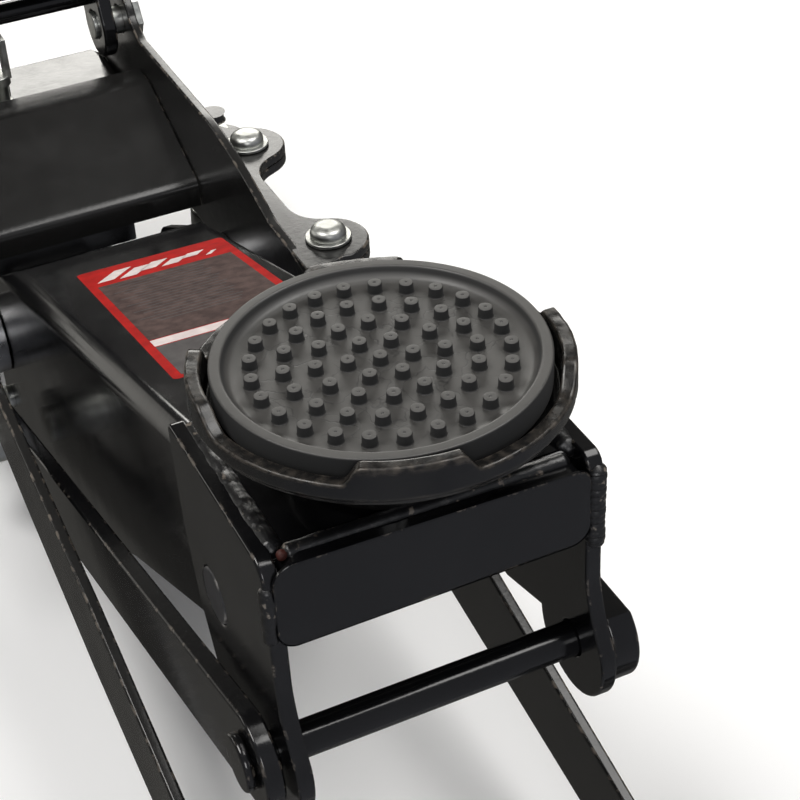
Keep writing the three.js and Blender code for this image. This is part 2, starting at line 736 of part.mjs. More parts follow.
// ---------------------------------------------------------------- handle yoke and handle
// Drawn upright about the yoke pivot; the group that holds them leans back.
function handleYoke() {
  const cheek = new THREE.Shape();
  cheek.absarc(0, 0, 19, radians(165), radians(375), false);
  cheek.lineTo(16, 36);
  cheek.lineTo(-16, 36);
  const lean = radians(pump.angle - yoke.lean);
  const crank = { x: pump.crank * Math.cos(lean), z: pump.crank * Math.sin(lean) };
  const near = yoke.half - 8;
  return cut(
    join(
      upright(cheek, -yoke.half, -near),
      upright(cheek, near, yoke.half),
      box(-16, 16, -yoke.half, yoke.half, 27, 36),
      bar("z", 25, 35, 160, { x: 0, y: 0 }),
      bar("y", 6, -yoke.half + 4, yoke.half - 4, crank),
    ),
    bar("z", handle.radius + 0.4, handle.start - 0.4, 170, { x: 0, y: 0 }),
    bar("z", 7.5, 20, 60, { x: 0, y: 0 }),
    bar("y", pins.yoke + gap, -80, -60, { x: 0, z: 0 }),
    bar("y", pins.yoke + gap, 60, 80, { x: 0, z: 0 }),
  );
}

function yokePin() {
  return join(
    bar("y", pins.yoke, 60, frame.outer + 1, yoke),
    bar("y", 13, frame.outer + gap, frame.outer + 6, yoke, 6),
  );
}

function buildHandle(parent) {
  add(parent, "yoke_pin_left", mirrored(yokePin()), zinc);
  add(parent, "yoke_pin_right", yokePin(), zinc);
  const leaning = new THREE.Group();
  leaning.position.set(yoke.x, 0, yoke.z);
  leaning.rotation.y = -radians(yoke.lean);
  parent.add(leaning);

  const centre = { x: 0, y: 0 };
  const screw = { y: 0, z: handle.split - 30 };
  const innerTube = handle.radius - handle.wall - gap;
  add(leaning, "handle_yoke", handleYoke(), blackPaint);
  add(leaning, "handle_lower_tube", cut(
    bar("z", handle.radius, handle.start, handle.split, centre),
    bar("z", handle.radius - handle.wall, handle.start - 5, handle.split + 5, centre),
    bar("x", rods.screw + gap, 0, 40, screw, 16),
  ), blackPaint);
  add(leaning, "handle_upper_tube", cut(
    bar("z", innerTube, handle.split - 110, handle.end - 6, centre),
    bar("z", innerTube - handle.wall, handle.split - 115, handle.end + 5, centre),
    bar("x", rods.screw + gap, 0, 40, screw, 16),
  ), blackPaint);
  add(leaning, "handle_grip", cut(
    bar("z", handle.radius + 1.5, handle.end - 210, handle.end, centre),
    bar("z", innerTube + gap, handle.end - 215, handle.end - 5.7, centre),
  ), foam);
  add(leaning, "handle_screw", join(
    bar("x", rods.screw, 12, 24, screw, 16),
    bar("x", 9, handle.radius + 0.6, handle.radius + 9, screw),
  ), foam);
  add(leaning, "release_rod", join(
    bar("z", rods.release, 14, 90, centre, 16),
    bar("z", innerTube, 84, 90, centre),
  ), bareSteel);
}

// ---------------------------------------------------------------- assembly
buildFrame(jack);
buildFrontRollers(jack);
buildCasters(jack);
buildArmPivot(jack);
buildHead(jack);
buildLink(jack);
buildSaddle(jack);
buildPowerUnit(jack);
buildSprings(jack);
buildHandle(jack);

const armGroup = new THREE.Group();
armGroup.position.set(armPin.x, 0, armPin.z);
armGroup.rotation.y = -armAngle;
jack.add(armGroup);
buildArm(armGroup);

// The origin is on the ground below the middle of the jack.
const bounds = new THREE.Box3().setFromObject(jack, true);
jack.position.x = -(bounds.min.x + bounds.max.x) / 2;

export default jack;
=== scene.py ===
import json
import math
import random

import bpy
from mathutils import Matrix, Vector
from mathutils.geometry import tessellate_polygon
from mathutils.noise import noise as noise_at

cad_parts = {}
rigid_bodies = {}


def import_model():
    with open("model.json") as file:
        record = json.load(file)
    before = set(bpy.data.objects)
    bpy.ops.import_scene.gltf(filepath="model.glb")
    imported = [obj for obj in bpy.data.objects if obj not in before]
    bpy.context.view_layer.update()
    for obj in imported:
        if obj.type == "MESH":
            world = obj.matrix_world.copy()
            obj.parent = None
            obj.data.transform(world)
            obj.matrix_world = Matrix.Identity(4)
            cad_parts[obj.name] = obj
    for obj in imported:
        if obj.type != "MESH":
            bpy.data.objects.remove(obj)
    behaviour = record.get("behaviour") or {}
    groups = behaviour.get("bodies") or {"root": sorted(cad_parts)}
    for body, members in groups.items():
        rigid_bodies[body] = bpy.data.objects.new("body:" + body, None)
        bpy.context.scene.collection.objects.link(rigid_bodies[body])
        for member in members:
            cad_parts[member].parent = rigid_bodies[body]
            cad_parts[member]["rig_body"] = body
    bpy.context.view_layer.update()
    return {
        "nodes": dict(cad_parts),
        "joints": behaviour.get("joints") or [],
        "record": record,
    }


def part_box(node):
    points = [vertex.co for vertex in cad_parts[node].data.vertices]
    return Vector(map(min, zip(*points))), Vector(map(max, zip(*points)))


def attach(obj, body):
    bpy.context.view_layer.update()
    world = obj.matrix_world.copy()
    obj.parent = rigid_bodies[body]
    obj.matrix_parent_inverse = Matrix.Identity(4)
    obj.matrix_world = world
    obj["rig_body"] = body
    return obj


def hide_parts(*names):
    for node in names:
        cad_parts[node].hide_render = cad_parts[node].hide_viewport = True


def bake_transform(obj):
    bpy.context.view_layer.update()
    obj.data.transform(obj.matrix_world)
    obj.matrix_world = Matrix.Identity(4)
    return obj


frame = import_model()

random.seed(7)

# ------------------------------------------------------------------ design frame
# Shapes are drawn in millimetres with X = 0 at the middle of the saddle and Z = 0 on the ground.
MM = 0.001
GAP = 0.3  # left between neighbouring pieces
mounts = {mount["name"]: Vector(mount["pos_m"]) for mount in frame["record"]["mounts"]}
pivots = {joint["name"]: joint.get("pos_m") for joint in frame["joints"]}
saddle_x = mounts["saddle_pad_floor"].x


def pivot(joint):
    """A joint's pivot as design X and Z."""
    x, _, z = pivots[joint]
    return (x - saddle_x) / MM, z / MM


def box_mm(node):
    """A CAD node's lowest and highest corners in design millimetres."""
    low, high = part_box(node)
    shift = Vector((saddle_x, 0, 0))
    return (low - shift) / MM, (high - shift) / MM


PAD_FLOOR = mounts["saddle_pad_floor"].z / MM
ARM_PIN = pivot("lift_arm")
HEAD_PIN = pivot("bracket_level")
LINK_PIN = pivot("link_swing")
YOKE_PIN = pivot("handle_pump")
ARM_LENGTH = math.dist(ARM_PIN, HEAD_PIN)
ARM_ANGLE = math.atan2(HEAD_PIN[1] - ARM_PIN[1], HEAD_PIN[0] - ARM_PIN[0])
LEVEL_PIN = (LINK_PIN[0] + HEAD_PIN[0] - ARM_PIN[0], LINK_PIN[1] + HEAD_PIN[1] - ARM_PIN[1])
TO_WORLD = Matrix.Translation((saddle_x, 0, 0)) @ Matrix.Diagonal((MM, MM, MM, 1))
ARM_FRAME = Matrix.Translation((ARM_PIN[0], 0, ARM_PIN[1])) @ Matrix.Rotation(-ARM_ANGLE, 4, "Y")
LINK_FRAME = Matrix.Translation((LINK_PIN[0], 0, LINK_PIN[1])) @ Matrix.Rotation(-ARM_ANGLE, 4, "Y")


# ------------------------------------------------------------------ materials
def shader(name, **values):
    """A new Principled material and its node tools."""
    material = bpy.data.materials.new(name)
    material.use_nodes = True
    tree = material.node_tree
    surface = tree.nodes["Principled BSDF"]
    for socket, value in values.items():
        surface.inputs[socket.replace("_", " ")].default_value = value
    return material, tree, surface


def node(tree, kind, inputs=None, **settings):
    """A new shader node; its inputs are numbers, colours or other nodes' sockets."""
    made = tree.nodes.new(kind)
    for name, value in settings.items():
        setattr(made, name, value)
    for name, value in (inputs or {}).items():
        if isinstance(value, bpy.types.NodeSocket):
            tree.links.new(value, made.inputs[name])
        else:
            made.inputs[name].default_value = value
    return made


def noise(tree, scale, detail=4.0, roughness=0.55, stretch=(1, 1, 1)):
    """Noise over the object's own coordinates; scale is in waves per metre."""
    place = node(tree, "ShaderNodeTexCoord")
    mapping = node(tree, "ShaderNodeMapping", {"Vector": place.outputs["Object"], "Scale": stretch})
    wanted = {"Vector": mapping.outputs[0], "Scale": scale, "Detail": detail, "Roughness": roughness}
    return node(tree, "ShaderNodeTexNoise", wanted).outputs["Fac"]


def ramp(tree, factor, low, high, start=0.0, end=1.0):
    """Maps a factor between start and end onto low to high."""
    wanted = {"Value": factor, "From Min": start, "From Max": end, "To Min": low, "To Max": high}
    return node(tree, "ShaderNodeMapRange", wanted).outputs[0]


def math_of(tree, operation, a, b):
    return node(tree, "ShaderNodeMath", {0: a, 1: b}, operation=operation).outputs[0]


def product(tree, a, b):
    return math_of(tree, "MULTIPLY", a, b)


def mix_colors(tree, factor, a, b):
    """Colour a where factor is 0 and b where it is 1; a and b are (red, green, blue) or sockets."""
    mixer = node(tree, "ShaderNodeMix", data_type="RGBA")
    for index, value in ((0, factor), (6, a), (7, b)):
        if isinstance(value, bpy.types.NodeSocket):
            tree.links.new(value, mixer.inputs[index])
        else:
            mixer.inputs[index].default_value = (*value, 1)
    return mixer.outputs[2]


def mix_values(tree, factor, a, b):
    """a where factor is 0 and b where it is 1; a and b are numbers or sockets."""
    return node(tree, "ShaderNodeMix", {"Factor": factor, "A": a, "B": b}).outputs[0]


def bump(tree, surface, *layers):
    """Adds (height, strength, distance) layers of bump, one on another."""
    normal = None
    for height, strength, distance in layers:
        wanted = {"Height": height, "Strength": strength, "Distance": distance}
        if normal is not None:
            wanted["Normal"] = normal
        normal = node(tree, "ShaderNodeBump", wanted).outputs[0]
    tree.links.new(normal, surface.inputs["Normal"])


def link(tree, surface, **sockets):
    for name, value in sockets.items():
        tree.links.new(value, surface.inputs[name.replace("_", " ")])


def edge_wear(tree, scale, least, start, end):
    """How far the finish is rubbed away: high on rounded edges, broken up by noise from start to end."""
    edge = node(tree, "ShaderNodeAttribute", attribute_name="edge").outputs["Fac"]
    broken = ramp(tree, noise(tree, scale, 6), least, 1, start, end)
    return product(tree, edge, broken)


def painted(name, color, gloss, peel, worn, wear_at, grime=0.5):
    """Sprayed gloss paint on steel: orange peel, light dust and rubbed edges."""
    material, tree, surface = shader(name, Specular_IOR_Level=0.5)
    dust = ramp(tree, noise(tree, 23, 7, 0.65), 0, 1, 0.5, 0.85)
    dusty = [channel * 1.7 + 0.003 for channel in color]
    base = mix_colors(tree, product(tree, dust, grime), color, dusty)
    wear = edge_wear(tree, 180, 0, wear_at, wear_at + 0.12)
    link(tree, surface, Base_Color=mix_colors(tree, wear, base, worn))
    satin = ramp(tree, noise(tree, 40, 5, 0.6), gloss, gloss + 0.07, 0.4, 0.7)
    link(tree, surface, Roughness=mix_values(tree, wear, satin, 0.5))
    bump(tree, surface, (noise(tree, 420, 2), peel, 0.0003), (noise(tree, 45, 2), peel * 0.6, 0.001))
    return material


def cast_paint():
    """Gloss black paint over a casting, worn to brown-grey metal along its rim."""
    material, tree, surface = shader("black_casting", Specular_IOR_Level=0.5)
    wear = edge_wear(tree, 240, 0.25, 0.36, 0.56)
    grains = ramp(tree, noise(tree, 300, 5), 0, 1, 0.4, 0.72)
    metal = mix_colors(tree, grains, (0.007, 0.006, 0.005), (0.1, 0.085, 0.07))
    cloud = ramp(tree, noise(tree, 35, 6), 0, 1, 0.4, 0.7)
    base = mix_colors(tree, cloud, (0.003, 0.003, 0.0034), (0.007, 0.0068, 0.0065))
    link(tree, surface, Base_Color=mix_colors(tree, wear, base, metal))
    gloss = ramp(tree, noise(tree, 60, 5), 0.1, 0.24, 0.35, 0.7)
    link(tree, surface, Roughness=mix_values(tree, wear, gloss, 0.48))
    link(tree, surface, Metallic=product(tree, wear, 0.35))
    bump(tree, surface, (noise(tree, 420, 5, 0.6), 0.1, 0.0005), (noise(tree, 90, 4), 0.12, 0.0012))
    return material


def pad_rubber():
    """Moulded rubber: a soft sheen, painted shade on its upright walls, and fine flow marks on the floor
    between the studs.
    """
    material, tree, surface = shader("pad_rubber", Specular_IOR_Level=0.8)
    place = node(tree, "ShaderNodeTexCoord").outputs["Object"]
    swirl = node(tree, "ShaderNodeTexNoise", {"Vector": place, "Scale": 70, "Detail": 3}).outputs["Color"]
    shift = node(tree, "ShaderNodeVectorMath", {0: swirl, "Scale": 0.022}, operation="SCALE").outputs[0]
    warped = node(tree, "ShaderNodeVectorMath", {0: place, 1: shift}, operation="ADD").outputs[0]
    cells = node(tree, "ShaderNodeTexVoronoi", {"Vector": warped, "Scale": 85}, feature="DISTANCE_TO_EDGE")
    line = ramp(tree, cells.outputs["Distance"], 0, 1, 0.0, 0.03)
    some = ramp(tree, noise(tree, 75, 2), 0, 1, 0.56, 0.66)
    center = (saddle_x, 0, PAD_FLOOR * MM)
    away = node(tree, "ShaderNodeVectorMath", {0: place, 1: center}, operation="DISTANCE").outputs["Value"]
    outside = ramp(tree, away, 0, 1, 0.036, 0.043)
    height = node(tree, "ShaderNodeSeparateXYZ", {0: place}).outputs["Z"]
    raised = ramp(tree, height, 0, 1, (PAD_FLOOR + 0.4) * MM, (PAD_FLOOR + 0.9) * MM)
    clear = line
    for factor in (some, outside, raised):
        clear = math_of(tree, "MAXIMUM", clear, factor)
    dull = ramp(tree, noise(tree, 45, 6, 0.65), 0, 1, 0.35, 0.7)
    grey = mix_colors(tree, dull, (0.021, 0.02, 0.0185), (0.034, 0.032, 0.029))
    marked = mix_colors(tree, clear, (0.006, 0.0055, 0.005), grey)
    normal = node(tree, "ShaderNodeTexCoord").outputs["Normal"]
    tilt = node(tree, "ShaderNodeSeparateXYZ", {0: normal}).outputs["Z"]
    unshaded_upward = ramp(tree, tilt, 0, 1, 0.3, 0.85)
    # Painted shade: sideways-facing walls, such as the stud sides and the rim's inner wall, get a near-black
    # colour; only surfaces that face up keep the rubber's grey
    link(tree, surface, Base_Color=mix_colors(tree, unshaded_upward, (0.004, 0.004, 0.004), marked))
    link(tree, surface, Roughness=mix_values(tree, unshaded_upward, 0.85, ramp(tree, dull, 0.42, 0.6)))
    fine, broad = noise(tree, 900, 4), noise(tree, 120, 4)
    bump(tree, surface, (clear, 0.3, 0.0002), (fine, 0.08, 0.0002), (broad, 0.1, 0.0008))
    return material


def plated(name, color, roughness, grain):
    """Zinc-plated or machined steel with fine mottling and turning marks."""
    material, tree, surface = shader(name, Metallic=1.0)
    cloud = ramp(tree, noise(tree, 130, 6, 0.6), 0, 1, 0.3, 0.75)
    dark = [channel * 0.55 for channel in color]
    link(tree, surface, Base_Color=mix_colors(tree, cloud, dark, color))
    smear = noise(tree, 260, 5)
    link(tree, surface, Roughness=ramp(tree, smear, roughness - 0.08, roughness + 0.16, 0.3, 0.7))
    bump(tree, surface, (noise(tree, 700, 4, 0.6, grain), 0.12, 0.0002))
    return material


def weld_metal():
    """Painted weld: black, with scattered pale specks."""
    material, tree, surface = shader("weld_bead", Specular_IOR_Level=0.6)
    spots = ramp(tree, noise(tree, 260, 6), 0, 1, 0.62, 0.68)
    link(tree, surface, Base_Color=mix_colors(tree, spots, (0.004, 0.004, 0.0045), (0.14, 0.12, 0.1)))
    link(tree, surface, Roughness=ramp(tree, noise(tree, 300, 3), 0.2, 0.45))
    bump(tree, surface, (noise(tree, 700, 5, 0.65), 0.3, 0.0005))
    return material


def rust_spot():
    """A dark red, rough crust."""
    material, tree, surface = shader("rust_spot")
    color = mix_colors(tree, noise(tree, 900, 4), (0.02, 0.0035, 0.002), (0.07, 0.009, 0.004))
    link(tree, surface, Base_Color=color, Roughness=ramp(tree, noise(tree, 500, 3), 0.5, 0.8))
    bump(tree, surface, (noise(tree, 1100, 4), 0.5, 0.0003))
    return material


def soft_grip():
    """Closed-cell foam with a fine pebbled skin."""
    material, tree, surface = shader("soft_black", Specular_IOR_Level=0.3)
    pebble = node(tree, "ShaderNodeTexVoronoi", {"Scale": 900}).outputs["Distance"]
    color = mix_colors(tree, noise(tree, 60, 5), (0.012, 0.012, 0.012), (0.028, 0.028, 0.027))
    link(tree, surface, Base_Color=color)
    link(tree, surface, Roughness=ramp(tree, noise(tree, 90, 4), 0.7, 0.92))
    bump(tree, surface, (pebble, 0.35, 0.0004), (noise(tree, 400, 4), 0.2, 0.0004))
    return material


def printed(name, color, second):
    """Printed label film: slightly uneven ink and hardly any gloss."""
    material, tree, surface = shader(name, Specular_IOR_Level=0.05)
    ink = ramp(tree, noise(tree, 160, 5), 0, 1, 0.35, 0.7)
    link(tree, surface, Base_Color=mix_colors(tree, ink, color, second))
    link(tree, surface, Roughness=ramp(tree, noise(tree, 80, 4), 0.5, 0.65))
    bump(tree, surface, (noise(tree, 260, 3), 0.06, 0.0003))
    return material


BLACK = (0.0035, 0.0035, 0.004)
MATERIALS = {
    "paint": painted("black_paint", BLACK, 0.13, 0.1, (0.1, 0.085, 0.07), 0.55),
    "frame_paint": painted("frame_paint", (0.01, 0.0098, 0.0095), 0.2, 0.14, (0.12, 0.1, 0.08), 0.5, 0.8),
    "wheel_paint": painted("wheel_paint", (0.014, 0.014, 0.015), 0.32, 0.2, (0.2, 0.19, 0.18), 0.4, 0.9),
    "casting": cast_paint(),
    # The pivot pin's end is a lighter grey than the black paint: partly a greyer paint, partly a painted
    # highlight for the light spot on the pin's end
    "pin_end_painted_highlight": painted("pin_end_painted_highlight", (0.02, 0.02, 0.023), 0.34, 0.12, (0.2, 0.19, 0.18), 0.5, 0.8),
    "rubber": pad_rubber(),
    "zinc": plated("zinc", (0.62, 0.63, 0.6), 0.34, (1, 1, 1)),
    "steel": plated("steel", (0.42, 0.42, 0.43), 0.3, (1, 6, 1)),
    "weld": weld_metal(),
    "rust": rust_spot(),
    "grip": soft_grip(),
    "label_red": printed("label_red", (0.25, 0.004, 0.003), (0.37, 0.008, 0.006)),
    "label_dark": printed("label_dark", (0.04, 0.025, 0.023), (0.085, 0.056, 0.05)),
    "label_grey": printed("label_grey", (0.06, 0.055, 0.055), (0.085, 0.08, 0.078)),
    "label_pale": printed("label_pale", (0.5, 0.43, 0.42), (0.62, 0.56, 0.54)),
}


# ------------------------------------------------------------------ mesh code
# A mesh is (points, faces, edge), where edge marks the points on rounded edges, for the wear.
def merged(*meshes):
    """Several meshes as one, without joining them."""
    points, faces, edge = [], [], []
    for part_points, part_faces, part_edge in meshes:
        start = len(points)
        points += part_points
        faces += [tuple(index + start for index in face) for face in part_faces]
        edge += part_edge
    return points, faces, edge


def moved(mesh, matrix):
    points, faces, edge = mesh
    if matrix.determinant() < 0:
        faces = [tuple(reversed(face)) for face in faces]
    return [matrix @ point for point in points], faces, edge


def mirrored(mesh):
    return moved(mesh, Matrix.Diagonal((1, -1, 1, 1)))


def arc(cx, cy, radius, start, end, step=8):
    """Points on an arc, in degrees, about one every step degrees."""
    count = max(2, round(abs(end - start) / step))
    angles = [math.radians(start + (end - start) * i / count) for i in range(count + 1)]
    return [(cx + radius * math.cos(a), cy + radius * math.sin(a)) for a in angles]


def curve(start, bend, end, count=10):
    """Points on a quadratic curve, without its first point."""
    steps = [i / count for i in range(1, count + 1)]
    return [tuple((1 - t) ** 2 * a + 2 * t * (1 - t) * b + t * t * c for a, b, c in zip(start, bend, end))
            for t in steps]


def circle(cx, cy, radius, count=40):
    turns = [2 * math.pi * i / count for i in range(count)]
    return [(cx + radius * math.cos(turn), cy + radius * math.sin(turn)) for turn in turns]


def area(loop):
    """The area inside a loop, positive if it runs counter-clockwise."""
    return sum(a[0] * b[1] - b[0] * a[1] for a, b in zip(loop, loop[1:] + loop[:1])) / 2


def tidy_loop(loop, counter_clockwise):
    """The loop without doubled points, running the way that is wanted."""
    kept = [point for i, point in enumerate(loop) if math.dist(point, loop[i - 1]) > 1e-4]
    return kept if (area(kept) > 0) == counter_clockwise else kept[::-1]


def inset(loop, distance):
    """The loop moved to its left by distance, with mitred corners."""
    result = []
    count = len(loop)
    for i, (x, y) in enumerate(loop):
        before = Vector(loop[i]) - Vector(loop[i - 1])
        after = Vector(loop[(i + 1) % count]) - Vector(loop[i])
        before.normalize()
        after.normalize()
        normal = Vector((-before.y - after.y, before.x + after.x))
        normal.normalize()
        spread = max(0.35, normal.dot(Vector((-after.y, after.x))))
        result.append((x + normal.x * distance / spread, y + normal.y * distance / spread))
    return result


def skin(levels, count, start=0):
    """Faces between rings of count points, from one level to the next; start numbers the first point."""
    faces = []
    for level in range(levels - 1):
        for i in range(count):
            a = start + level * count + i
            b = start + level * count + (i + 1) % count
            faces.append((a, b, b + count, a + count))
    return faces


def slab(outline, low, high, rounding=0.8, holes=(), steps=4):
    """A flat piece between two heights with rounded edges, drawn in X and Y."""
    loops = [tidy_loop(list(outline), True)] + [tidy_loop(list(hole), False) for hole in holes]
    rings = []
    for i in range(steps + 1):
        turn = math.pi / 2 * i / steps
        z, depth = low + rounding * (1 - math.sin(turn)), rounding * (1 - math.cos(turn))
        rings.append((z, depth, math.sin(2 * turn)))
    rings.reverse()
    rings += [(high - (z - low), depth, mark) for z, depth, mark in reversed(rings)]
    points, faces, edge, caps = [], [], [], []
    for loop in loops:
        start = len(points)
        count = len(loop)
        for z, depth, mark in rings:
            ring = inset(loop, depth) if depth > 1e-6 else loop
            points += [Vector((x, y, z)) for x, y in ring]
            edge += [max(0.0, mark)] * count
        faces += skin(len(rings), count, start)
        caps.append((start, start + (len(rings) - 1) * count, count))
    for which, flip in ((0, True), (1, False)):
        index = [cap[which] + i for cap in caps for i in range(cap[2])]
        polygons = [[points[cap[which] + i] for i in range(cap[2])] for cap in caps]
        for triangle in tessellate_polygon(polygons):
            face = [index[i] for i in triangle]
            corner = [points[i] for i in face]
            up = (corner[1] - corner[0]).cross(corner[2] - corner[0]).z > 0
            faces.append(tuple(face if up != flip else face[::-1]))
    return points, faces, edge


def upright(outline, y0, y1, rounding=0.8, holes=(), steps=4):
    """A slab whose outline is drawn in X and Z, between two Y positions."""
    turn = Matrix(((1, 0, 0, 0), (0, 0, -1, 0), (0, 1, 0, 0), (0, 0, 0, 1)))
    return moved(slab(outline, -y1, -y0, rounding, holes, steps), turn)


def across(outline, x0, x1, rounding=0.8, holes=(), steps=4):
    """A slab whose outline is drawn in Y and Z, between two X positions."""
    turn = Matrix(((0, 0, 1, 0), (1, 0, 0, 0), (0, 1, 0, 0), (0, 0, 0, 1)))
    return moved(slab(outline, x0, x1, rounding, holes, steps), turn)


def softened(profile, radius, closed=False, steps=4):
    """A profile with its corners rounded, and a mark on each rounded point."""
    points, marks = [], []
    count = len(profile)
    for i, here in enumerate(profile):
        if not closed and i in (0, count - 1):
            points.append(here)
            marks.append(0.0)
            continue
        before, after = Vector(profile[i - 1]), Vector(profile[(i + 1) % count])
        corner = Vector(here)
        reach = min(radius, (before - corner).length * 0.45, (after - corner).length * 0.45)
        enter = corner + (before - corner).normalized() * reach
        leave = corner + (after - corner).normalized() * reach
        points += [tuple(enter)] + curve(tuple(enter), here, tuple(leave), steps)
        marks += [math.sin(math.pi * step / steps) for step in range(steps + 1)]
    return points, marks


def turned(profile, rounding=0.6, closed=False, count=64, at=(0, 0, 0), axis="Z"):
    """A body turned from (radius, height) points, which run outside-up, counter-clockwise."""
    profile, marks = softened(profile, rounding, closed)
    points, edge, rows = [], [], []
    for (radius, height), mark in zip(profile, marks):
        if radius < 1e-6:
            rows.append([len(points)] * count)
            points.append(Vector((0, 0, height)))
            edge.append(mark)
            continue
        rows.append(list(range(len(points), len(points) + count)))
        for i in range(count):
            angle = 2 * math.pi * i / count
            points.append(Vector((radius * math.cos(angle), radius * math.sin(angle), height)))
            edge.append(mark)
    faces = []
    pairs = list(zip(rows, rows[1:])) + ([(rows[-1], rows[0])] if closed else [])
    for lower, upper in pairs:
        for i in range(count):
            face = (lower[i], lower[(i + 1) % count], upper[(i + 1) % count], upper[i])
            unique = tuple(dict.fromkeys(face))
            if len(unique) > 2:
                faces.append(unique)
    turn = {
        "Z": Matrix.Identity(4),
        "Y": Matrix(((1, 0, 0, 0), (0, 0, 1, 0), (0, -1, 0, 0), (0, 0, 0, 1))),
        "X": Matrix(((0, 0, 1, 0), (0, 1, 0, 0), (-1, 0, 0, 0), (0, 0, 0, 1))),
    }[axis]
    return moved((points, faces, edge), Matrix.Translation(at) @ turn)


def rod(radius, low, high, at, axis, rounding=0.8, count=48):
    """A round bar between two positions on its axis; at gives the other two coordinates."""
    return turned([(0, low), (radius, low), (radius, high), (0, high)], rounding, False, count, at, axis)


def tube(radius, bore, low, high, at, axis, rounding=0.6, count=48):
    profile = [(bore, low), (radius, low), (radius, high), (bore, high)]
    return turned(profile, rounding, True, count, at, axis)


def rounded(x0, x1, y0, y1, radius, step=12):
    """A rectangle with round corners."""
    corners = ((x1 - radius, y0 + radius, -90), (x1 - radius, y1 - radius, 0),
               (x0 + radius, y1 - radius, 90), (x0 + radius, y0 + radius, 180))
    return [point for x, y, start in corners for point in arc(x, y, radius, start, start + 90, step)]


def hexagon_head(radius, low, high, at, axis, turn=0):
    """A six-sided nut or bolt head between two positions on its axis."""
    center = {"X": (at[1], at[2]), "Y": (at[0], at[2]), "Z": (at[0], at[1])}[axis]
    build = {"X": across, "Y": upright, "Z": slab}[axis]
    corners = [math.radians(turn + 60 * i) for i in range(6)]
    outline = [(center[0] + radius * math.cos(a), center[1] + radius * math.sin(a)) for a in corners]
    return build(outline, low, high, 0.9)


def weld_bead(start, end, radius, pitch, lumps, ripple_depth=0.13):
    """A weld bead in a straight seam: round slices that swell and wander, with a ripple at every pitch."""
    start, end = Vector(start), Vector(end)
    run = end - start
    steps = max(8, round(run.length / 0.45))
    side = run.normalized().orthogonal()
    lift = run.normalized().cross(side)
    elsewhere = Vector((9, 0, 0))
    points, around = [], 14
    for i in range(steps + 1):
        travel = run.length * i / steps
        middle = start + run * (i / steps)
        ends = min(1.0, (min(travel, run.length - travel) + 0.2) / radius)
        ripple = 0.9 + ripple_depth * abs(math.sin(math.pi * travel / pitch))
        size = radius * math.sqrt(ends) * (ripple + lumps * noise_at(middle * 0.16))
        drift = side * lumps * 2.2 * noise_at(middle * 0.09)
        drift += lift * lumps * 2.2 * noise_at(middle * 0.09 + elsewhere)
        for k in range(around):
            angle = 2 * math.pi * k / around
            place = middle + drift + (side * math.cos(angle) + lift * math.sin(angle)) * size
            points.append(place + (place - middle) * lumps * 0.5 * noise_at(place * 0.4))
    faces = skin(steps + 1, around)
    faces.append(tuple(reversed(range(around))))
    faces.append(tuple(steps * around + k for k in range(around)))
    return points, faces, [0.0] * len(points)


def mesh_data(name, points, faces):
    data = bpy.data.meshes.new(name)
    data.from_pydata(points, [], faces)
    return data


def add_object(name, data):
    """A new Blender object, linked to the scene."""
    made = bpy.data.objects.new(name, data)
    bpy.context.scene.collection.objects.link(made)
    return made


def piece(name, mesh, material, body, replaces=(), place=None):
    """Makes a Blender object from a mesh in design millimetres and puts it on its CAD body."""
    points, faces, edge = moved(mesh, TO_WORLD @ place if place else TO_WORLD)
    data = mesh_data(name, points, faces)
    data.attributes.new("edge", "FLOAT", "POINT").data.foreach_set("value", edge)
    data.validate()
    data.shade_smooth()
    data.set_sharp_from_angle(angle=math.radians(38))
    data.materials.append(MATERIALS[material])
    made = add_object(name, data)
    made.modifiers.new("even_normals", "WEIGHTED_NORMAL").keep_sharp = True
    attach(made, body)
    if replaces:
        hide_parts(*replaces)


def stand_in(cad_node, mesh, material, place=None):
    """A piece that takes a CAD node's place, on that node's own body."""
    body = frame["nodes"][cad_node]["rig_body"]
    piece(f"{cad_node}_shape", mesh, material, body, (cad_node,), place)


def both_sides(cad_node, mesh, material, place=None):
    """The same piece at +Y (right) and mirrored at -Y (left)."""
    stand_in(f"{cad_node}_right", mesh, material, place)
    stand_in(f"{cad_node}_left", mirrored(mesh), material, place)


# ------------------------------------------------------------------ camera, light and floor
CAMERA = {"place": (0.76255, -0.1853, 0.6276), "lens": 83.95, "yaw": 23.31, "pitch": 36.45, "roll": -3.39}
AIM = (0.3, 0, 0.2)
WARM, PALE_WARM = (1, 0.98, 0.93), (1, 0.985, 0.96)
REAR_GLOW = (-0.962, -0.222, -0.156)  # towards the bright spot behind the jack


def make_camera():
    yaw, pitch, roll = (math.radians(CAMERA[angle]) for angle in ("yaw", "pitch", "roll"))
    back = Vector((math.cos(yaw) * math.cos(pitch), -math.sin(yaw) * math.cos(pitch), math.sin(pitch)))
    right = Vector((0, 0, 1)).cross(back).normalized()
    above = back.cross(right)
    across_view = math.cos(roll) * right + math.sin(roll) * above
    up = math.cos(roll) * above - math.sin(roll) * right
    camera = add_object("camera", bpy.data.cameras.new("camera"))
    camera.data.lens = CAMERA["lens"]
    camera.data.clip_start = 0.02
    axes = Matrix((across_view, up, back)).transposed().to_4x4()
    camera.matrix_world = Matrix.Translation(CAMERA["place"]) @ axes
    bpy.context.scene.camera = camera


def soft_light(name, place, target, size, power, color=(1, 1, 1)):
    lamp = bpy.data.lights.new(name, "AREA")
    lamp.shape = "RECTANGLE"
    lamp.size, lamp.size_y = size
    lamp.energy = power
    lamp.color = color
    made = add_object(name, lamp)
    made.location = place
    made.rotation_euler = (Vector(target) - Vector(place)).to_track_quat("-Z", "Y").to_euler()


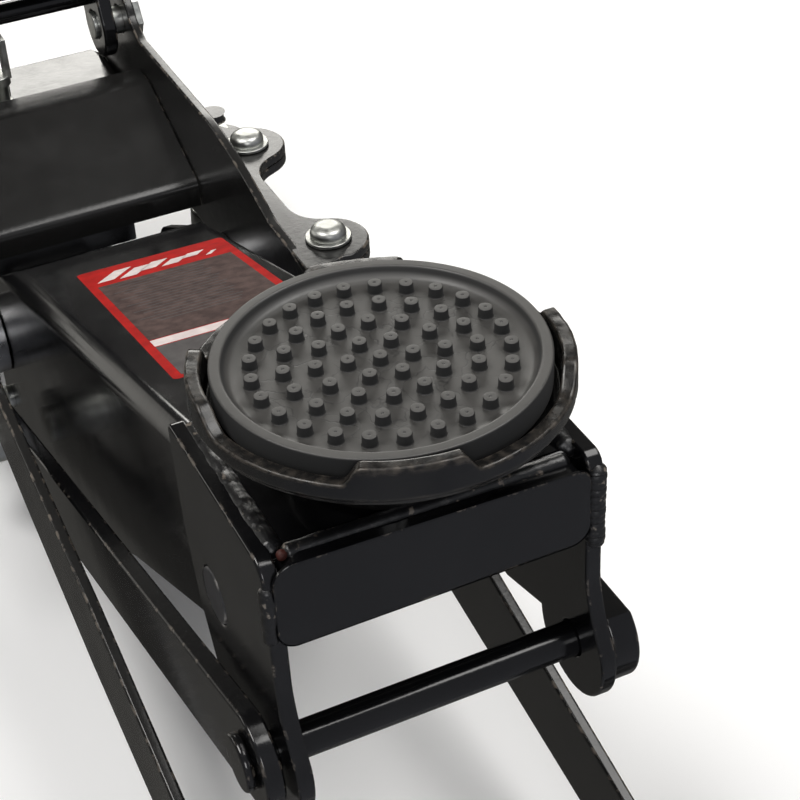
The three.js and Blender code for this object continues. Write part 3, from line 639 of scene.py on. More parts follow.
def make_studio():
    """Five soft lights, and a world that is brighter in front of the jack and in one spot behind it."""
    soft_light("key_light", (0.1, -0.9, 2.1), (0.2, 0, 0.2), (1.1, 0.9), 30, PALE_WARM)
    soft_light("top_light", (0.5, 0.9, 2.2), AIM, (1.5, 1.1), 30, PALE_WARM)
    soft_light("rear_light", (-1.85, 0.8, 1.0), (0.1, 0.05, 0.2), (1.3, 0.6), 16, WARM)
    soft_light("rear_left_light", (-1.5, -1.6, 0.75), (0.1, -0.05, 0.2), (1.2, 0.5), 5, WARM)
    soft_light("front_light", (2.3, -0.6, 1.3), AIM, (0.8, 0.8), 12)
    world = bpy.data.worlds.new("studio")
    world.use_nodes = True
    tree = world.node_tree
    around = node(tree, "ShaderNodeTexCoord").outputs["Generated"]
    forward = node(tree, "ShaderNodeSeparateXYZ", {0: around}).outputs["X"]
    background = tree.nodes["Background"]
    tint = ramp(tree, forward, 0, 1, -0.4, 0.4)
    link(tree, background, Color=mix_colors(tree, tint, (1, 0.97, 0.9), (0.9, 0.92, 1)))
    toward = node(tree, "ShaderNodeVectorMath", {0: around, 1: REAR_GLOW}, operation="DOT_PRODUCT")
    glow = ramp(tree, toward.outputs["Value"], 0, 0.7, 0.93, 0.996)
    fill = ramp(tree, forward, 0.08, 0.32, -0.8, 0.8)
    link(tree, background, Strength=math_of(tree, "ADD", fill, glow))
    bpy.context.scene.world = world
    bpy.context.scene.view_settings.view_transform = "Standard"


def make_floor():
    """A pale floor, which the jack's gloss doesn't mirror."""
    half = 6.0
    corners = [(-half, -half, 0), (half, -half, 0), (half, half, 0), (-half, half, 0)]
    data = mesh_data("floor", corners, [(0, 1, 2, 3)])
    material, tree, surface = shader("floor_white", Roughness=0.75)
    pale = mix_colors(tree, noise(tree, 3, 4), (0.93, 0.93, 0.93), (0.97, 0.97, 0.97))
    link(tree, surface, Base_Color=pale)
    data.materials.append(material)
    floor = add_object("floor", data)
    floor.visible_glossy = False


# ------------------------------------------------------------------ saddle
SADDLE_TOP = PAD_FLOOR + 2.3
# Heights are from SADDLE_TOP. The first lug's middle, a lug's half width and the ramps are in degrees.
CUP = {"outer": 62, "bore": 57, "floor": -11.5, "rim": -5.2, "lug": 1.4, "count": 4,
       "first": -16, "half": 14.5}
CUP_LEAN = (0.035, -0.03)  # how far the rim rises per millimetre along X and Y
RAMPS = ((5.3, 5.3), (13, 5.3), (5.3, 5.3), (5.3, 12))  # the slope before and after each lug
PAD = {"outer": 54.4, "rim": 2.0, "rim_width": 3.8, "base": -8}
STUD = {"radius": 2.35, "base": 2.5, "height": 3.6, "dimple": 0.5, "spacing": 10.4, "wander": 0.12,
        "counts": (1, 6, 12, 18, 25), "turns": (0.0, 136.3, 166.2, 156.3, 157.9)}


def lug_rise(angle):
    """0 on the low rim and 1 on a lug, with a slope at each end of it, at an angle in degrees."""
    apart = 360 / CUP["count"]
    number = round((angle - CUP["first"]) / apart)
    away = angle - CUP["first"] - apart * number
    ramp_width = RAMPS[number % CUP["count"]][0 if away < 0 else 1]
    rise = min(1.0, max(0.0, (CUP["half"] + ramp_width - abs(away)) / ramp_width))
    return rise * rise * (3 - 2 * rise)


def saddle_cup():
    """A cast dish on a stem; its rim rises into four lugs, and is highest at the front left."""
    outer, bore, rim = CUP["outer"], CUP["bore"], CUP["rim"]
    profile, marks = softened([
        (0, -62), (14.4, -62), (14.4, -36.5), (32, -36.5), (33, -24), (51, -18), (57.5, -15.4), (60.2, -13.2),
        (60.6, -12.0), (outer, -10.4), (outer, rim), (bore, rim), (bore, CUP["floor"]), (0, CUP["floor"]),
    ], 1.3, False, 5)
    count = 288
    points, edge = [], []
    for (radius, height), mark in zip(profile, marks):
        leaning = min(1.0, max(0.0, (height + 34) / 12))
        for i in range(count):
            angle = 360 * i / count
            turn = math.radians(angle)
            flat = Vector((math.cos(turn), math.sin(turn), 0.0))
            near_rim = min(1.0, max(0.0, (height - rim + 3.5) / 3)) if radius > bore - 1 else 0.0
            place = flat * radius
            place.z = height + (CUP["lug"] - rim) * lug_rise(angle) * near_rim
            rough = 0.25 * noise_at(place * 0.11) + 0.14 * noise_at(place * 0.35) if radius > 30 else 0.0
            place += flat * min(0.0, rough - 0.05) + Vector((0, 0, rough * near_rim * 0.9))
            place.z += (CUP_LEAN[0] * place.x + CUP_LEAN[1] * place.y) * leaning
            points.append(place)
            worn = mark * near_rim if height > rim - 2.5 else mark * 0.25
            top_face = 0.34 if height > rim - 0.3 and mark < 0.4 and radius > bore - 1 else 0.0
            edge.append(max(worn, top_face))
    return points, skin(len(profile), count), edge


def pad_body():
    """A disc with a raised rim, whose inner wall runs out into the floor."""
    outer, rim, base = PAD["outer"], PAD["rim"], PAD["base"]
    inner = outer - PAD["rim_width"]
    floor = PAD_FLOOR - SADDLE_TOP
    profile = [(0, base), (outer, base), (outer + 0.1, rim), (inner, rim),
               (inner - 0.9, floor + 1.9), (inner - 2.4, floor + 0.6), (inner - 4.6, floor), (0, floor)]
    return turned(profile, 0.8, False, 160)


def pad_stud(x, y):
    """A round stud with a dimple in its top."""
    dimple, height = STUD["dimple"], STUD["height"]
    profile = [(STUD["base"] + 0.4, -0.2), (STUD["base"], 0.25), (STUD["radius"], height),
               (dimple, height + 0.02), (dimple * 0.6, height - 0.3), (0, height - 0.34)]
    return turned(profile, 0.3, False, 32, (x, y, PAD_FLOOR - SADDLE_TOP))


def saddle_pad():
    """The pad with its rings of studs, each a little off its true place."""
    studs, wander = [], STUD["wander"]
    for ring, (count, start) in enumerate(zip(STUD["counts"], STUD["turns"])):
        for i in range(count):
            angle = math.radians(start - 360 * i / count)
            radius = STUD["spacing"] * ring
            off = Vector((random.uniform(-wander, wander), random.uniform(-wander, wander)))
            studs.append(pad_stud(radius * math.cos(angle) + off.x, radius * math.sin(angle) + off.y))
    return merged(pad_body(), *studs)


def make_saddle():
    place = Matrix.Translation((0, 0, SADDLE_TOP))
    stand_in("saddle_cup", saddle_cup(), "casting", place)
    stand_in("saddle_pad", saddle_pad(), "rubber", place)
    stand_in("saddle_clip", tube(20, 14.7, -48, -44.4, (0, 0, 0), "Z"), "zinc", place)


# ------------------------------------------------------------------ saddle bracket
HEAD = {"half": 59.5, "plate": 6.0, "front": 38.0, "face": 39.0, "rear": -47.0, "top": 255.0, "low": 221.0}


def head_plate_outline(corner):
    """A side plate seen from the side: square on top, with a round eye for the levelling pin."""
    x, z = LEVEL_PIN
    front, top, eye = HEAD["front"], HEAD["top"], 22
    eye_front = (x + eye * math.cos(math.radians(20)), z + eye * math.sin(math.radians(20)))
    outline = [(-44.6, 214), (HEAD["rear"], top - 3)]
    outline += curve(outline[-1], (HEAD["rear"], top), (HEAD["rear"] + 3, top), 4)
    outline += arc(front - corner, top - corner, corner, 90, 0)
    outline += [(front, 204)]
    outline += curve(outline[-1], (front + 1, 191), eye_front)
    outline += arc(x, z, eye, 20, -175)
    outline += [(-20, 159), (-26.4, 160), (-37.6, 183)]
    return outline


def head_side(corner):
    holes = [circle(*HEAD_PIN, 10.8), circle(*LEVEL_PIN, 6.8)]
    return upright(head_plate_outline(corner), HEAD["half"] - HEAD["plate"], HEAD["half"], 1.1, holes)


def head_front_outline(half, margin):
    """The front plate seen from the front: round corners, and its top edge falls a little to the right."""
    low, top_left, top_right = HEAD["low"] + margin, HEAD["top"] - 0.5 - margin, HEAD["top"] - 3.2 - margin
    return (arc(half - 8, low + 8, 8, -90, 0) + arc(half - 6, top_right - 6, 6, 0, 90)
            + arc(-half + 8, top_left - 8, 8, 90, 180) + arc(-half + 7, low + 7, 7, 180, 270))


def head_front():
    """A thick plate let in between the side plates, with a lip that laps their front edges."""
    face = HEAD["face"]
    inside = HEAD["half"] - HEAD["plate"]
    body = across(head_front_outline(inside - GAP, 0.8), face - 9.5, face - 0.3, 0.6)
    lip_outline = [(y - 1, z) for y, z in head_front_outline(inside + 2.4, 0)]
    lip = across(lip_outline, HEAD["front"] + 0.05, face, 0.95)
    return merged(body, lip)


def head_top():
    half = HEAD["half"] - HEAD["plate"] - GAP
    outline = rounded(HEAD["rear"] + 1, HEAD["face"] - 10.4, -half, half, 1.5)
    return slab(outline, HEAD["top"] - 8, HEAD["top"] - 2.6, 2.2, [circle(0, 0, 18, 64)])


def bracket_welds():
    """The bracket's seams: name, start, end, then the bead's radius, pitch, lumps and ripple."""
    inside = HEAD["half"] - HEAD["plate"]
    top, front, rear = HEAD["top"] - 3, HEAD["front"], HEAD["rear"]
    left, right = -(inside + 3.7) - 0.8, inside + 3.7
    seam = front - 7.2
    return [
        ("top_left_weld", (rear + 2, -inside + 1.2, top), (front - 8, -inside + 1.4, top - 0.2),
         3.1, 6.5, 0.1, 0.02),
        ("front_top_weld", (seam, -inside + 3, top + 0.4), (seam, inside - 3, top - 1.2),
         2.4, 6.0, 0.05, 0.02),
        ("top_right_weld", (rear + 3, inside - 0.6, top), (front - 9, inside - 0.6, top),
         2.9, 4.0, 0.2, 0.06),
        ("front_left_weld", (front - 1.3, left, 223), (front - 1.3, left, top - 5), 1.9, 7.0, 0.14, 0.05),
        ("front_right_weld", (front - 1.1, right, 216), (front - 1.1, right, top - 1), 2.5, 2.9, 0.1, 0.13),
    ]


def corner_rust():
    """A small blob where the left seams meet."""
    x, y, z = HEAD["front"] - 7.5, -HEAD["half"] + HEAD["plate"] + 2.6, HEAD["top"] - 1.6
    return weld_bead((x, y, z), (x + 3.5, y + 0.5, z - 0.6), 1.3, 2.0, 0.25)


def levelling_pin():
    """A pin through both side plates, with a round head, flat on top, against the right plate."""
    x, z = LEVEL_PIN
    start = HEAD["half"] + GAP
    head, flat = 19, 15
    half_flat = math.degrees(math.asin(flat / head))
    outline = arc(x, z, head, 180 - half_flat, 360 + half_flat, 6)
    outline = [(px, min(pz, z + flat)) for px, pz in outline]
    return merged(
        rod(6.5, -72, start + 1, (x, 0, z), "Y"),
        rod(10.5, -73, -69.4, (x, 0, z), "Y", 1.4),
        upright(outline, start, start + 11, 1.6, [], 5),
        rod(9.0, start + 10, start + 11.4, (x, 0, z), "Y", 1.0),
    )


def make_head():
    stand_in("head_plate_left", mirrored(head_side(9)), "paint")
    stand_in("head_plate_right", head_side(5.5), "paint")
    stand_in("head_front_plate", head_front(), "paint")
    stand_in("head_top_plate", head_top(), "paint")
    at = (HEAD_PIN[0], 0, HEAD_PIN[1])
    stand_in("head_pivot_pin", rod(10.5, -HEAD["half"] - 0.2, HEAD["half"] + 0.2, at, "Y", 1.2), "pin_end_painted_highlight")
    stand_in("levelling_pin", levelling_pin(), "paint")
    for name, *bead in bracket_welds():
        piece(name, weld_bead(*bead), "weld", "bracket")
    piece("corner_rust", corner_rust(), "rust", "bracket")


# ------------------------------------------------------------------ lift arm, label and levelling link
ARM = {"half": 52.5, "wall": 5.0, "top": 47.0, "belly": -51.5, "corner": 9.0}
ROLLER_PIN = pivot("arm_roller_spin")


def in_arm_frame(x, z):
    """A design X and Z as distances along and across the arm."""
    dx, dz = x - ARM_PIN[0], z - ARM_PIN[1]
    cosine, sine = math.cos(ARM_ANGLE), math.sin(ARM_ANGLE)
    return (dx * cosine + dz * sine, dz * cosine - dx * sine)


def arm_outline():
    """The arm seen from the side: round ends, a flat top, and a lever below the pivot for the roller."""
    lever = in_arm_frame(*ROLLER_PIN)
    outline = arc(0, 0, 31, 110, 215) + arc(*lever, 16, 190, 330)
    outline += curve(outline[-1], (10, ARM["belly"]), (40, ARM["belly"]))
    outline += [(200, ARM["belly"])]
    outline += curve(outline[-1], (212, ARM["belly"]), (224, ARM["belly"] + 3.5), 5)
    outline += arc(ARM_LENGTH, 0, 22, -95, 70)
    outline += curve(outline[-1], (ARM_LENGTH - 14, 40), (ARM_LENGTH - 34, ARM["top"]))
    outline += [(92, ARM["top"])]
    outline += curve(outline[-1], (60, ARM["top"]), (40, 38), 8)
    return outline


def arm_section():
    """Inverted channel with rounded outer and inner corners, drawn in Y and Z."""
    half, top, wall, corner, low = ARM["half"], ARM["top"], ARM["wall"], ARM["corner"], -80
    outside = arc(half - corner, top - corner, corner, 0, 90, 9)
    inside = arc(half - corner, top - corner, corner - wall, 90, 0, 15)
    left_outside, left_inside = ([(-y, z) for y, z in reversed(bend)] for bend in (outside, inside))
    return ([(half, low)] + outside + left_outside + [(-half, low), (-half + wall, low)]
            + left_inside + inside + [(half - wall, low)])


def edge_marks(data, points, bevel):
    """1 at a point that touches only the narrow faces of a bevel, and 0 elsewhere."""
    touching = [[] for _ in points]
    for polygon in data.polygons:
        longest = max((points[a] - points[b]).length for a, b in polygon.edge_keys)
        for index in polygon.vertices:
            touching[index].append(polygon.area < longest * bevel)
    return [1.0 if found and all(found) else 0.0 for found in touching]


def carved(body, tools, operations, bevel):
    """Cuts or keeps parts of a mesh with others, then bevels its sharp edges; returns a plain mesh."""
    base = add_object("base", mesh_data("base", *body[:2]))
    cutters = [add_object("cutter", mesh_data("cutter", *tool[:2])) for tool in tools]
    for cutter, kind in zip(cutters, operations):
        step = base.modifiers.new("step", "BOOLEAN")
        step.operation = kind
        step.solver = "EXACT"
        step.object = cutter
    rounding = base.modifiers.new("rounding", "BEVEL")
    rounding.width = bevel
    rounding.segments = 3
    rounding.limit_method = "ANGLE"
    rounding.angle_limit = math.radians(35)
    bpy.context.view_layer.update()
    done = bpy.data.meshes.new_from_object(base.evaluated_get(bpy.context.evaluated_depsgraph_get()))
    points = [vertex.co.copy() for vertex in done.vertices]
    faces = [tuple(polygon.vertices) for polygon in done.polygons]
    edge = edge_marks(done, points, bevel)
    for scrap in (base, *cutters):
        bpy.data.objects.remove(scrap)
    return points, faces, edge


def lift_arm():
    """A pressed channel, trimmed to the arm's side view and bored for its three pins."""
    channel = across(arm_section(), -60, ARM_LENGTH + 40, 0.01, (), 1)
    side_view = upright(arm_outline(), -60, 60, 0.01, (), 1)
    lever = in_arm_frame(*ROLLER_PIN)
    pins = ((13.3, (0, 0)), (10.8, (ARM_LENGTH, 0)), (6.3, lever))
    bores = [rod(radius, -70, 70, (u, 0, v), "Y", 0.01, 48) for radius, (u, v) in pins]
    return carved(channel, [side_view, *bores], ["INTERSECT"] + ["DIFFERENCE"] * len(bores), 1.1)


# The label's edges along and across the arm, and its turn in degrees.
LABEL = {"rear": 109, "front": 297, "left": -27, "right": 45, "border": 4, "header": 31, "turn": -2.5}


def layer_height(layer):
    """The top of a printed layer on the arm; each layer lies just above the last."""
    return ARM["top"] + 0.04 + 0.07 * layer


def label_film(x0, x1, y0, y1, radius, layer):
    top = layer_height(layer)
    return slab(rounded(x0, x1, y0, y1, radius), top - 0.3, top, 0.03, (), 2)


def label_bar(center, length, width, slant=0.0):
    """A slanted bar of the label's upper print."""
    x, y = center
    lean = width * slant
    outline = [(x - width / 2, y - length / 2 - lean), (x + width / 2, y - length / 2 + lean),
               (x + width / 2, y + length / 2 + lean), (x - width / 2, y + length / 2 - lean)]
    top = layer_height(2)
    return slab(outline, top - 0.2, top, 0.02, (), 2)


def make_label():
    """A red label with panels, a pale strip, slanted marks and fine rows; it has no text."""
    rear, front, left, right = LABEL["rear"], LABEL["front"], LABEL["left"], LABEL["right"]
    border, header = LABEL["border"], LABEL["header"]
    inner = (left + border, right - border)
    bands = {
        "label_base": ("label_red", label_film(rear, front, left, right, 2.5, 0)),
        "label_panel": ("label_dark", label_film(rear + header, front - 57, *inner, 0.4, 1)),
        "label_lower_panel": ("label_grey", label_film(front - 46, front - border, *inner, 0.4, 1)),
        "label_strip": ("label_pale", label_film(front - 56, front - 47, *inner, 0.4, 1)),
    }
    stripes = [label_bar((rear + 17 + 3 * (i % 2), left + 15 + 9.5 * i), 8, 14 - 2 * i, -0.4)
               for i in range(5)]
    stripes += [label_bar((rear + 22, left + 61), 2.6, 5, -0.4)]
    bands["label_marks"] = ("label_pale", merged(*stripes))
    first_row = rear + header + 5
    rows = [label_bar((first_row + 4.2 * i, left + 31 + i % 3), 46 - 5 * (i % 3), 0.8) for i in range(18)]
    bands["label_rows"] = ("label_grey", merged(*rows))
    middle = Matrix.Translation((rear, (left + right) / 2, 0))
    skew = middle @ Matrix.Rotation(math.radians(LABEL["turn"]), 4, "Z") @ middle.inverted()
    for name, (material, mesh) in bands.items():
        piece(name, mesh, material, "arm", (), ARM_FRAME @ skew)


def levelling_link():
    """A flat bar with round ends, as long as the arm."""
    half = 18
    outline = arc(0, 0, half, 90, 270, 6) + arc(ARM_LENGTH, 0, half, -90, 90, 6)
    holes = [circle(x, 0, 7.3) for x in (0, ARM_LENGTH)]
    return upright(outline, -69, -62, 1.2, holes)


def make_arm():
    stand_in("lift_arm", lift_arm(), "paint", ARM_FRAME)
    inner = ARM["half"] - ARM["wall"] - GAP
    stand_in("arm_bush", tube(19, 13.3, -inner, inner, (0, 0, 0), "Y", 1.0), "paint", ARM_FRAME)
    lever = in_arm_frame(*ROLLER_PIN)
    at = (lever[0], 0, lever[1])
    stand_in("arm_roller_pin", rod(6, -ARM["half"] - 3, ARM["half"] + 3, at, "Y", 1.0), "zinc", ARM_FRAME)
    stand_in("arm_roller", tube(12, 6.3, -27, 27, at, "Y", 1.2), "steel", ARM_FRAME)
    stand_in("levelling_link", levelling_link(), "paint", LINK_FRAME)
    make_label()


# ------------------------------------------------------------------ frame
FRAME = {"inner": 77.0, "outer": 82.0, "top": 148.0, "crest": 168.0, "rear": -600.0, "rear_low": 90.0,
         "flange": 5.0}
FRAME_FACE, FRAME_INSIDE = FRAME["outer"] + GAP, FRAME["inner"] - GAP
AXLE = pivot("front_roller_spin_right")
CASTER = pivot("caster_swivel_right")[0]
CASTER_SIDE = pivots["caster_swivel_right"][1] / MM
LOBES = (-291, -400)
TIE = (-500, 126)
BLOCK_BOLTS = ((-590, 100), (-590, 119))


def frame_outline():
    """A frame plate seen from the side, from its rear end round the pivots to the front axle and back."""
    top, rear = FRAME["top"], FRAME["rear"]
    outline = [(rear, FRAME["rear_low"]), (ARM_PIN[0] - 36, FRAME["rear_low"])]
    outline += arc(*ARM_PIN, 27, 170, 285) + arc(*LINK_PIN, 16, 210, 360)
    outline += curve(outline[-1], (-322, 100), (-298, 102)) + [(-279, 102)]
    outline += curve(outline[-1], (-262, 98), (-237, 89)) + [(-146, 65)]
    outline += arc(*AXLE, 17, -104, 72)
    outline += [(-52, 92), (-131, 113)]
    outline += curve(outline[-1], (-240, 134), (-290, top)) + [(-318, top + 1)]
    outline += curve(outline[-1], (-372, FRAME["crest"]), (-410, FRAME["crest"]))
    outline += [(YOKE_PIN[0] + 34, FRAME["crest"])] + arc(*YOKE_PIN, 22, 20, 200)
    outline += [(YOKE_PIN[0] - 30, top), (rear + 8, top)]
    outline += curve(outline[-1], (rear, top), (rear, top - 8), 6)
    return outline


def flange_outline(inner, rear):
    """Outward flange: a narrow strip that swells into a round lobe at each bolt."""
    waist, lobe, y = 92, 20, CASTER_SIDE
    first, second = LOBES
    outline = [(rear, inner), (first + 32, inner)]
    outline += curve(outline[-1], (first + 24, inner + 2), (first + 19, y))
    outline += arc(first, y, lobe, 10, 160)
    outline += curve(outline[-1], (first - 24, waist), (first - 40, waist)) + [(second + 40, waist)]
    outline += curve(outline[-1], (second + 24, waist), (second + 19, y + 7))
    outline += arc(second, y, lobe, 20, 160)
    outline += curve(outline[-1], (second - 24, waist), (second - 36, waist)) + [(rear, waist)]
    return outline


def frame_plate(linked):
    """The right frame plate with its top flange; a linked one also has the levelling link's hole."""
    holes = [circle(*AXLE, 10.3), circle(*ARM_PIN, 13.3), circle(*YOKE_PIN, 8.3), circle(*TIE, 8.3)]
    holes += [circle(x, z, 5.3) for x, z in BLOCK_BOLTS]
    if linked:
        holes.append(circle(*LINK_PIN, 7.3))
    bolt_holes = [circle(x, CASTER_SIDE, 5.3) for x in LOBES]
    edge = flange_outline(FRAME["inner"] + 0.5, FRAME["rear"] + 10)
    flange = slab(edge, FRAME["top"] - FRAME["flange"], FRAME["top"], 1.2, bolt_holes)
    return merged(upright(frame_outline(), FRAME["inner"], FRAME["outer"], 1.2, holes), flange)


def make_frame():
    stand_in("frame_plate_right", frame_plate(False), "frame_paint")
    stand_in("frame_plate_left", mirrored(frame_plate(True)), "frame_paint")
    at = (TIE[0], 0, TIE[1])
    stand_in("frame_tie_bolt", merged(
        rod(8, -91, 91, at, "Y", 1.2),
        rod(11, -FRAME_INSIDE, FRAME_INSIDE, at, "Y", 0.8),
        hexagon_head(12, FRAME_FACE, 89, at, "Y"),
        hexagon_head(12, -89, -FRAME_FACE, at, "Y"),
    ), "zinc")
    at = (AXLE[0], 0, AXLE[1])
    near, far, rim, hub, bore, end = 86, 114, 38, 17, 10.4, 122
    stand_in("front_axle", merged(
        rod(10, -end, end, at, "Y", 1.5),
        rod(15, -end, -far - GAP, at, "Y", 1.8),
        rod(15, far + GAP, 118, at, "Y", 1.4),
    ), "steel")
    wheel = turned([
        (bore, FRAME_FACE), (hub, FRAME_FACE), (hub, near + 4), (rim - 7, near + 5), (rim - 6, near),
        (rim, near), (rim, far), (rim - 6, far), (rim - 7, far - 5), (hub, far - 4), (hub, far), (bore, far),
    ], 1.3, True, 96, at, "Y")
    both_sides("front_roller", wheel, "wheel_paint")


# ------------------------------------------------------------------ casters
UNDER_FLANGE = FRAME["top"] - FRAME["flange"] - GAP
CASTER_AXLE = {"behind": 14, "height": 25}


def caster_mount():
    """A plate under the flange, a web against the frame plate, and a boss for the caster's stem."""
    top, inner, boss_radius = UNDER_FLANGE, FRAME_FACE + GAP, 18
    stem_hole = circle(CASTER, CASTER_SIDE, 6.3)
    holes = [circle(x, CASTER_SIDE, 5.3) for x in LOBES] + [stem_hole]
    plate = slab(flange_outline(inner, CASTER - 25), top - 5, top, 1.0, holes)
    web = across(rounded(inner, FRAME_FACE + 6, 98, top - 1, 1.2), CASTER - 22, CASTER + 22, 1.0)
    start = math.degrees(math.asin((inner - CASTER_SIDE) / boss_radius))
    disc = arc(CASTER, CASTER_SIDE, boss_radius, start, 180 - start, 6)
    boss = slab(disc, 84.4, 126, 1.2, [stem_hole])
    return merged(plate, web, boss)


def flange_bolt(x):
    """Vertical bolt with a washer, a round head and a nut."""
    at, top = (x, CASTER_SIDE, 0), FRAME["top"]
    profile = [(0, 1.5), (9, 1.5), (9, 4.8), (7.6, 6.9), (4.6, 8), (0, 8)]
    return merged(
        rod(5, UNDER_FLANGE - 14, top + 2, at, "Z", 0.8, 32),
        rod(11.5, top + GAP, top + 2, at, "Z", 0.6),
        turned([(radius, top + height) for radius, height in profile], 1.3, False, 48, at),
        hexagon_head(8.5, UNDER_FLANGE - 12, UNDER_FLANGE - 5.3, at, "Z"))


def caster_fork(side):
    """Two legs under a swivel plate, on a stem with a nut; the axle trails behind the stem."""
    x, y = CASTER, side * CASTER_SIDE
    trail, height = x - CASTER_AXLE["behind"], CASTER_AXLE["height"]
    outline = [(trail, 78), (trail - 9, height + 2)]
    outline += arc(trail, height, 9, 170, 375)
    outline += [(x + 13, 78)]
    leg = [upright(outline, y + low, y + low + 4, 1.0, [circle(trail, height, 4.3)]) for low in (-16, 12)]
    return merged(
        rod(19, 76, 84, (x, y, 0), "Z", 1.4), rod(6, 83, 130, (x, y, 0), "Z", 1.0),
        hexagon_head(9, 126.3, 133, (x, y, 0), "Z"), *leg)


def make_casters():
    both_sides("caster_mount", caster_mount(), "frame_paint")
    both_sides("caster_front_bolt", flange_bolt(LOBES[0]), "zinc")
    both_sides("caster_rear_bolt", flange_bolt(LOBES[1]), "zinc")
    half = [(25, 8), (23, 10), (19, 10), (17, 8.2), (9, 9.2), (9, 11.5), (4.4, 11.5)]
    profile = [(radius, -width) for radius, width in reversed(half)] + half
    for side, name in ((-1, "left"), (1, "right")):
        y = side * CASTER_SIDE
        at = (CASTER - CASTER_AXLE["behind"], y, CASTER_AXLE["height"])
        stand_in(f"caster_fork_{name}", caster_fork(side), "zinc")
        stand_in(f"caster_wheel_{name}", turned(profile, 0.9, True, 72, at, "Y"), "wheel_paint")
        nuts = [hexagon_head(7, y + low, y + high, at, "Y") for low, high in ((-20, -16.3), (16.3, 20))]
        stand_in(f"caster_axle_{name}", merged(rod(4, -19, 19, at, "Y", 0.8, 32), *nuts), "zinc")


# ------------------------------------------------------------------ arm pivot and link pin
def make_pivots():
    x, z = ARM_PIN
    at, face = (x, 0, z), FRAME_FACE
    shaft = merged(rod(13, -face - 1, 94, at, "Y", 1.6), hexagon_head(19, -92, -face, at, "Y", 30))
    stand_in("arm_pivot_shaft", shaft, "zinc")
    nut = upright(circle(x, z, 19, 6), face, face + 9, 1.2, [circle(x, z, 13.2)])
    stand_in("arm_pivot_nut", nut, "zinc")
    both_sides("arm_spacer", tube(20, 13.3, ARM["half"] + GAP, FRAME_INSIDE, at, "Y", 0.8), "steel")
    at = (LINK_PIN[0], 0, LINK_PIN[1])
    stand_in("link_rear_pin", merged(
        rod(7, -FRAME["outer"] - 2, -60, at, "Y", 0.5),
        rod(11.5, -88, -face, at, "Y", 1.6),
        rod(11.5, -FRAME_INSIDE, -69.3, at, "Y", 0.6),
        rod(10, -61.7, -59, at, "Y", 0.8),
    ), "zinc")


# ------------------------------------------------------------------ hydraulic power unit
RAM_HEIGHT = 46
BLOCK = (-600, -530)
TANK = {"rear": -528, "front": -452, "top": 110, "filler": -470}
COVER = {"front": -426, "low": 104, "bend": 118, "rear": -516, "high": 149, "wall": 3}


def block_outline():
    """The pump block seen from the front: narrow below, and as wide as the frame above."""
    wide = FRAME_INSIDE
    right = arc(36, 28, 8, -90, 0) + [(44, 66), (wide, 72), (wide, 124), (wide - 6, 128)]
    return [(-36, 20)] + right + [(-y, z) for y, z in reversed(right)]


def pump_block():
    """A cast block with a raised round pad where the lift cylinder is screwed in."""
    seat = rod(33, BLOCK[1] - 3, BLOCK[1] + 0.2, (0, 0, RAM_HEIGHT), "X", 0.1, 64)
    return merged(across(block_outline(), *BLOCK, 2.4, (), 5), seat)


def power_unit_cover():
    """A bent sheet that slopes up from behind the arm to the yoke, with two pressed ribs."""
    front, low, bend, rear, high, wall = COVER.values()
    outline = [(front, low), (front, bend - 4)]
    outline += curve(outline[-1], (front, bend), (front - 5, bend + 2), 8) + [(rear + 20, high - 1)]
    outline += curve(outline[-1], (rear + 14, high), (rear + 8, high), 8)
    outline += [(rear, high), (rear, high - wall), (rear + 8, high - wall)]
    outline += curve(outline[-1], (rear + 14, high - wall), (rear + 20, high - 1 - wall), 8)
    outline += [(front - 5, bend + 2 - wall)]
    outline += curve(outline[-1], (front - wall, bend - 1), (front - wall, bend - 4), 8)
    outline += [(front - wall, low)]
    sheet = upright(outline, -FRAME_INSIDE, FRAME_INSIDE, 0.7)
    slope = math.atan2(high - bend - 3, rear + 25 - front)
    middle = Matrix.Translation(((front + rear) / 2 + 4, 0, (bend + high) / 2 + 0.2))
    place = middle @ Matrix.Rotation(math.pi - slope, 4, "Y")
    ribs = [moved(slab(rounded(-26, 26, y - 5, y + 5, 5), -1.2, 1.6, 1.5, (), 5), place) for y in (-38, 38)]
    return merged(sheet, *ribs)


def through_bolt(place):
    """A bolt through both frame plates, with a head and a nut."""
    at, face = (place[0], 0, place[1]), FRAME_FACE
    return merged(
        rod(5, -face - 1, face + 10, at, "Y", 0.8, 32),
        hexagon_head(8.5, face, face + 7, at, "Y"),
        hexagon_head(8.5, -face - 6, -face, at, "Y"))


def reservoir_cover():
    """A pressed cover: a rounded shell with closed ends, open below, with a hole for the filler plug."""
    rear, front, top, filler = TANK.values()
    shell = across(rounded(-44, 44, 60, top, 12, 9), rear, front, 1.6, (), 5)
    hollow = across(rounded(-41, 41, 40, top - 3, 10, 9), rear + 3, front - 3, 0.5, (), 2)
    below = across([(-60, 40), (60, 40), (60, 78), (-60, 78)], -560, -440, 0.01, (), 1)
    mouth = rod(6.5, top - 12, top + 12, (filler, 0, 0), "Z", 0.01, 40)
    return carved(shell, [hollow, below, mouth], ["DIFFERENCE"] * 3, 0.5)


def make_cylinder():
    """The lift cylinder with its gland nut."""
    at, bore, mouth = (0, 0, RAM_HEIGHT), 15.5, -446
    stand_in("lift_cylinder", tube(28, bore, BLOCK[1] + GAP, mouth, at, "X", 1.2, 96), "paint")
    hole = circle(0, RAM_HEIGHT, bore, 64)
    stand_in("cylinder_gland", across(circle(0, RAM_HEIGHT, 25, 8), mouth + GAP, -438, 1.0, [hole]), "zinc")


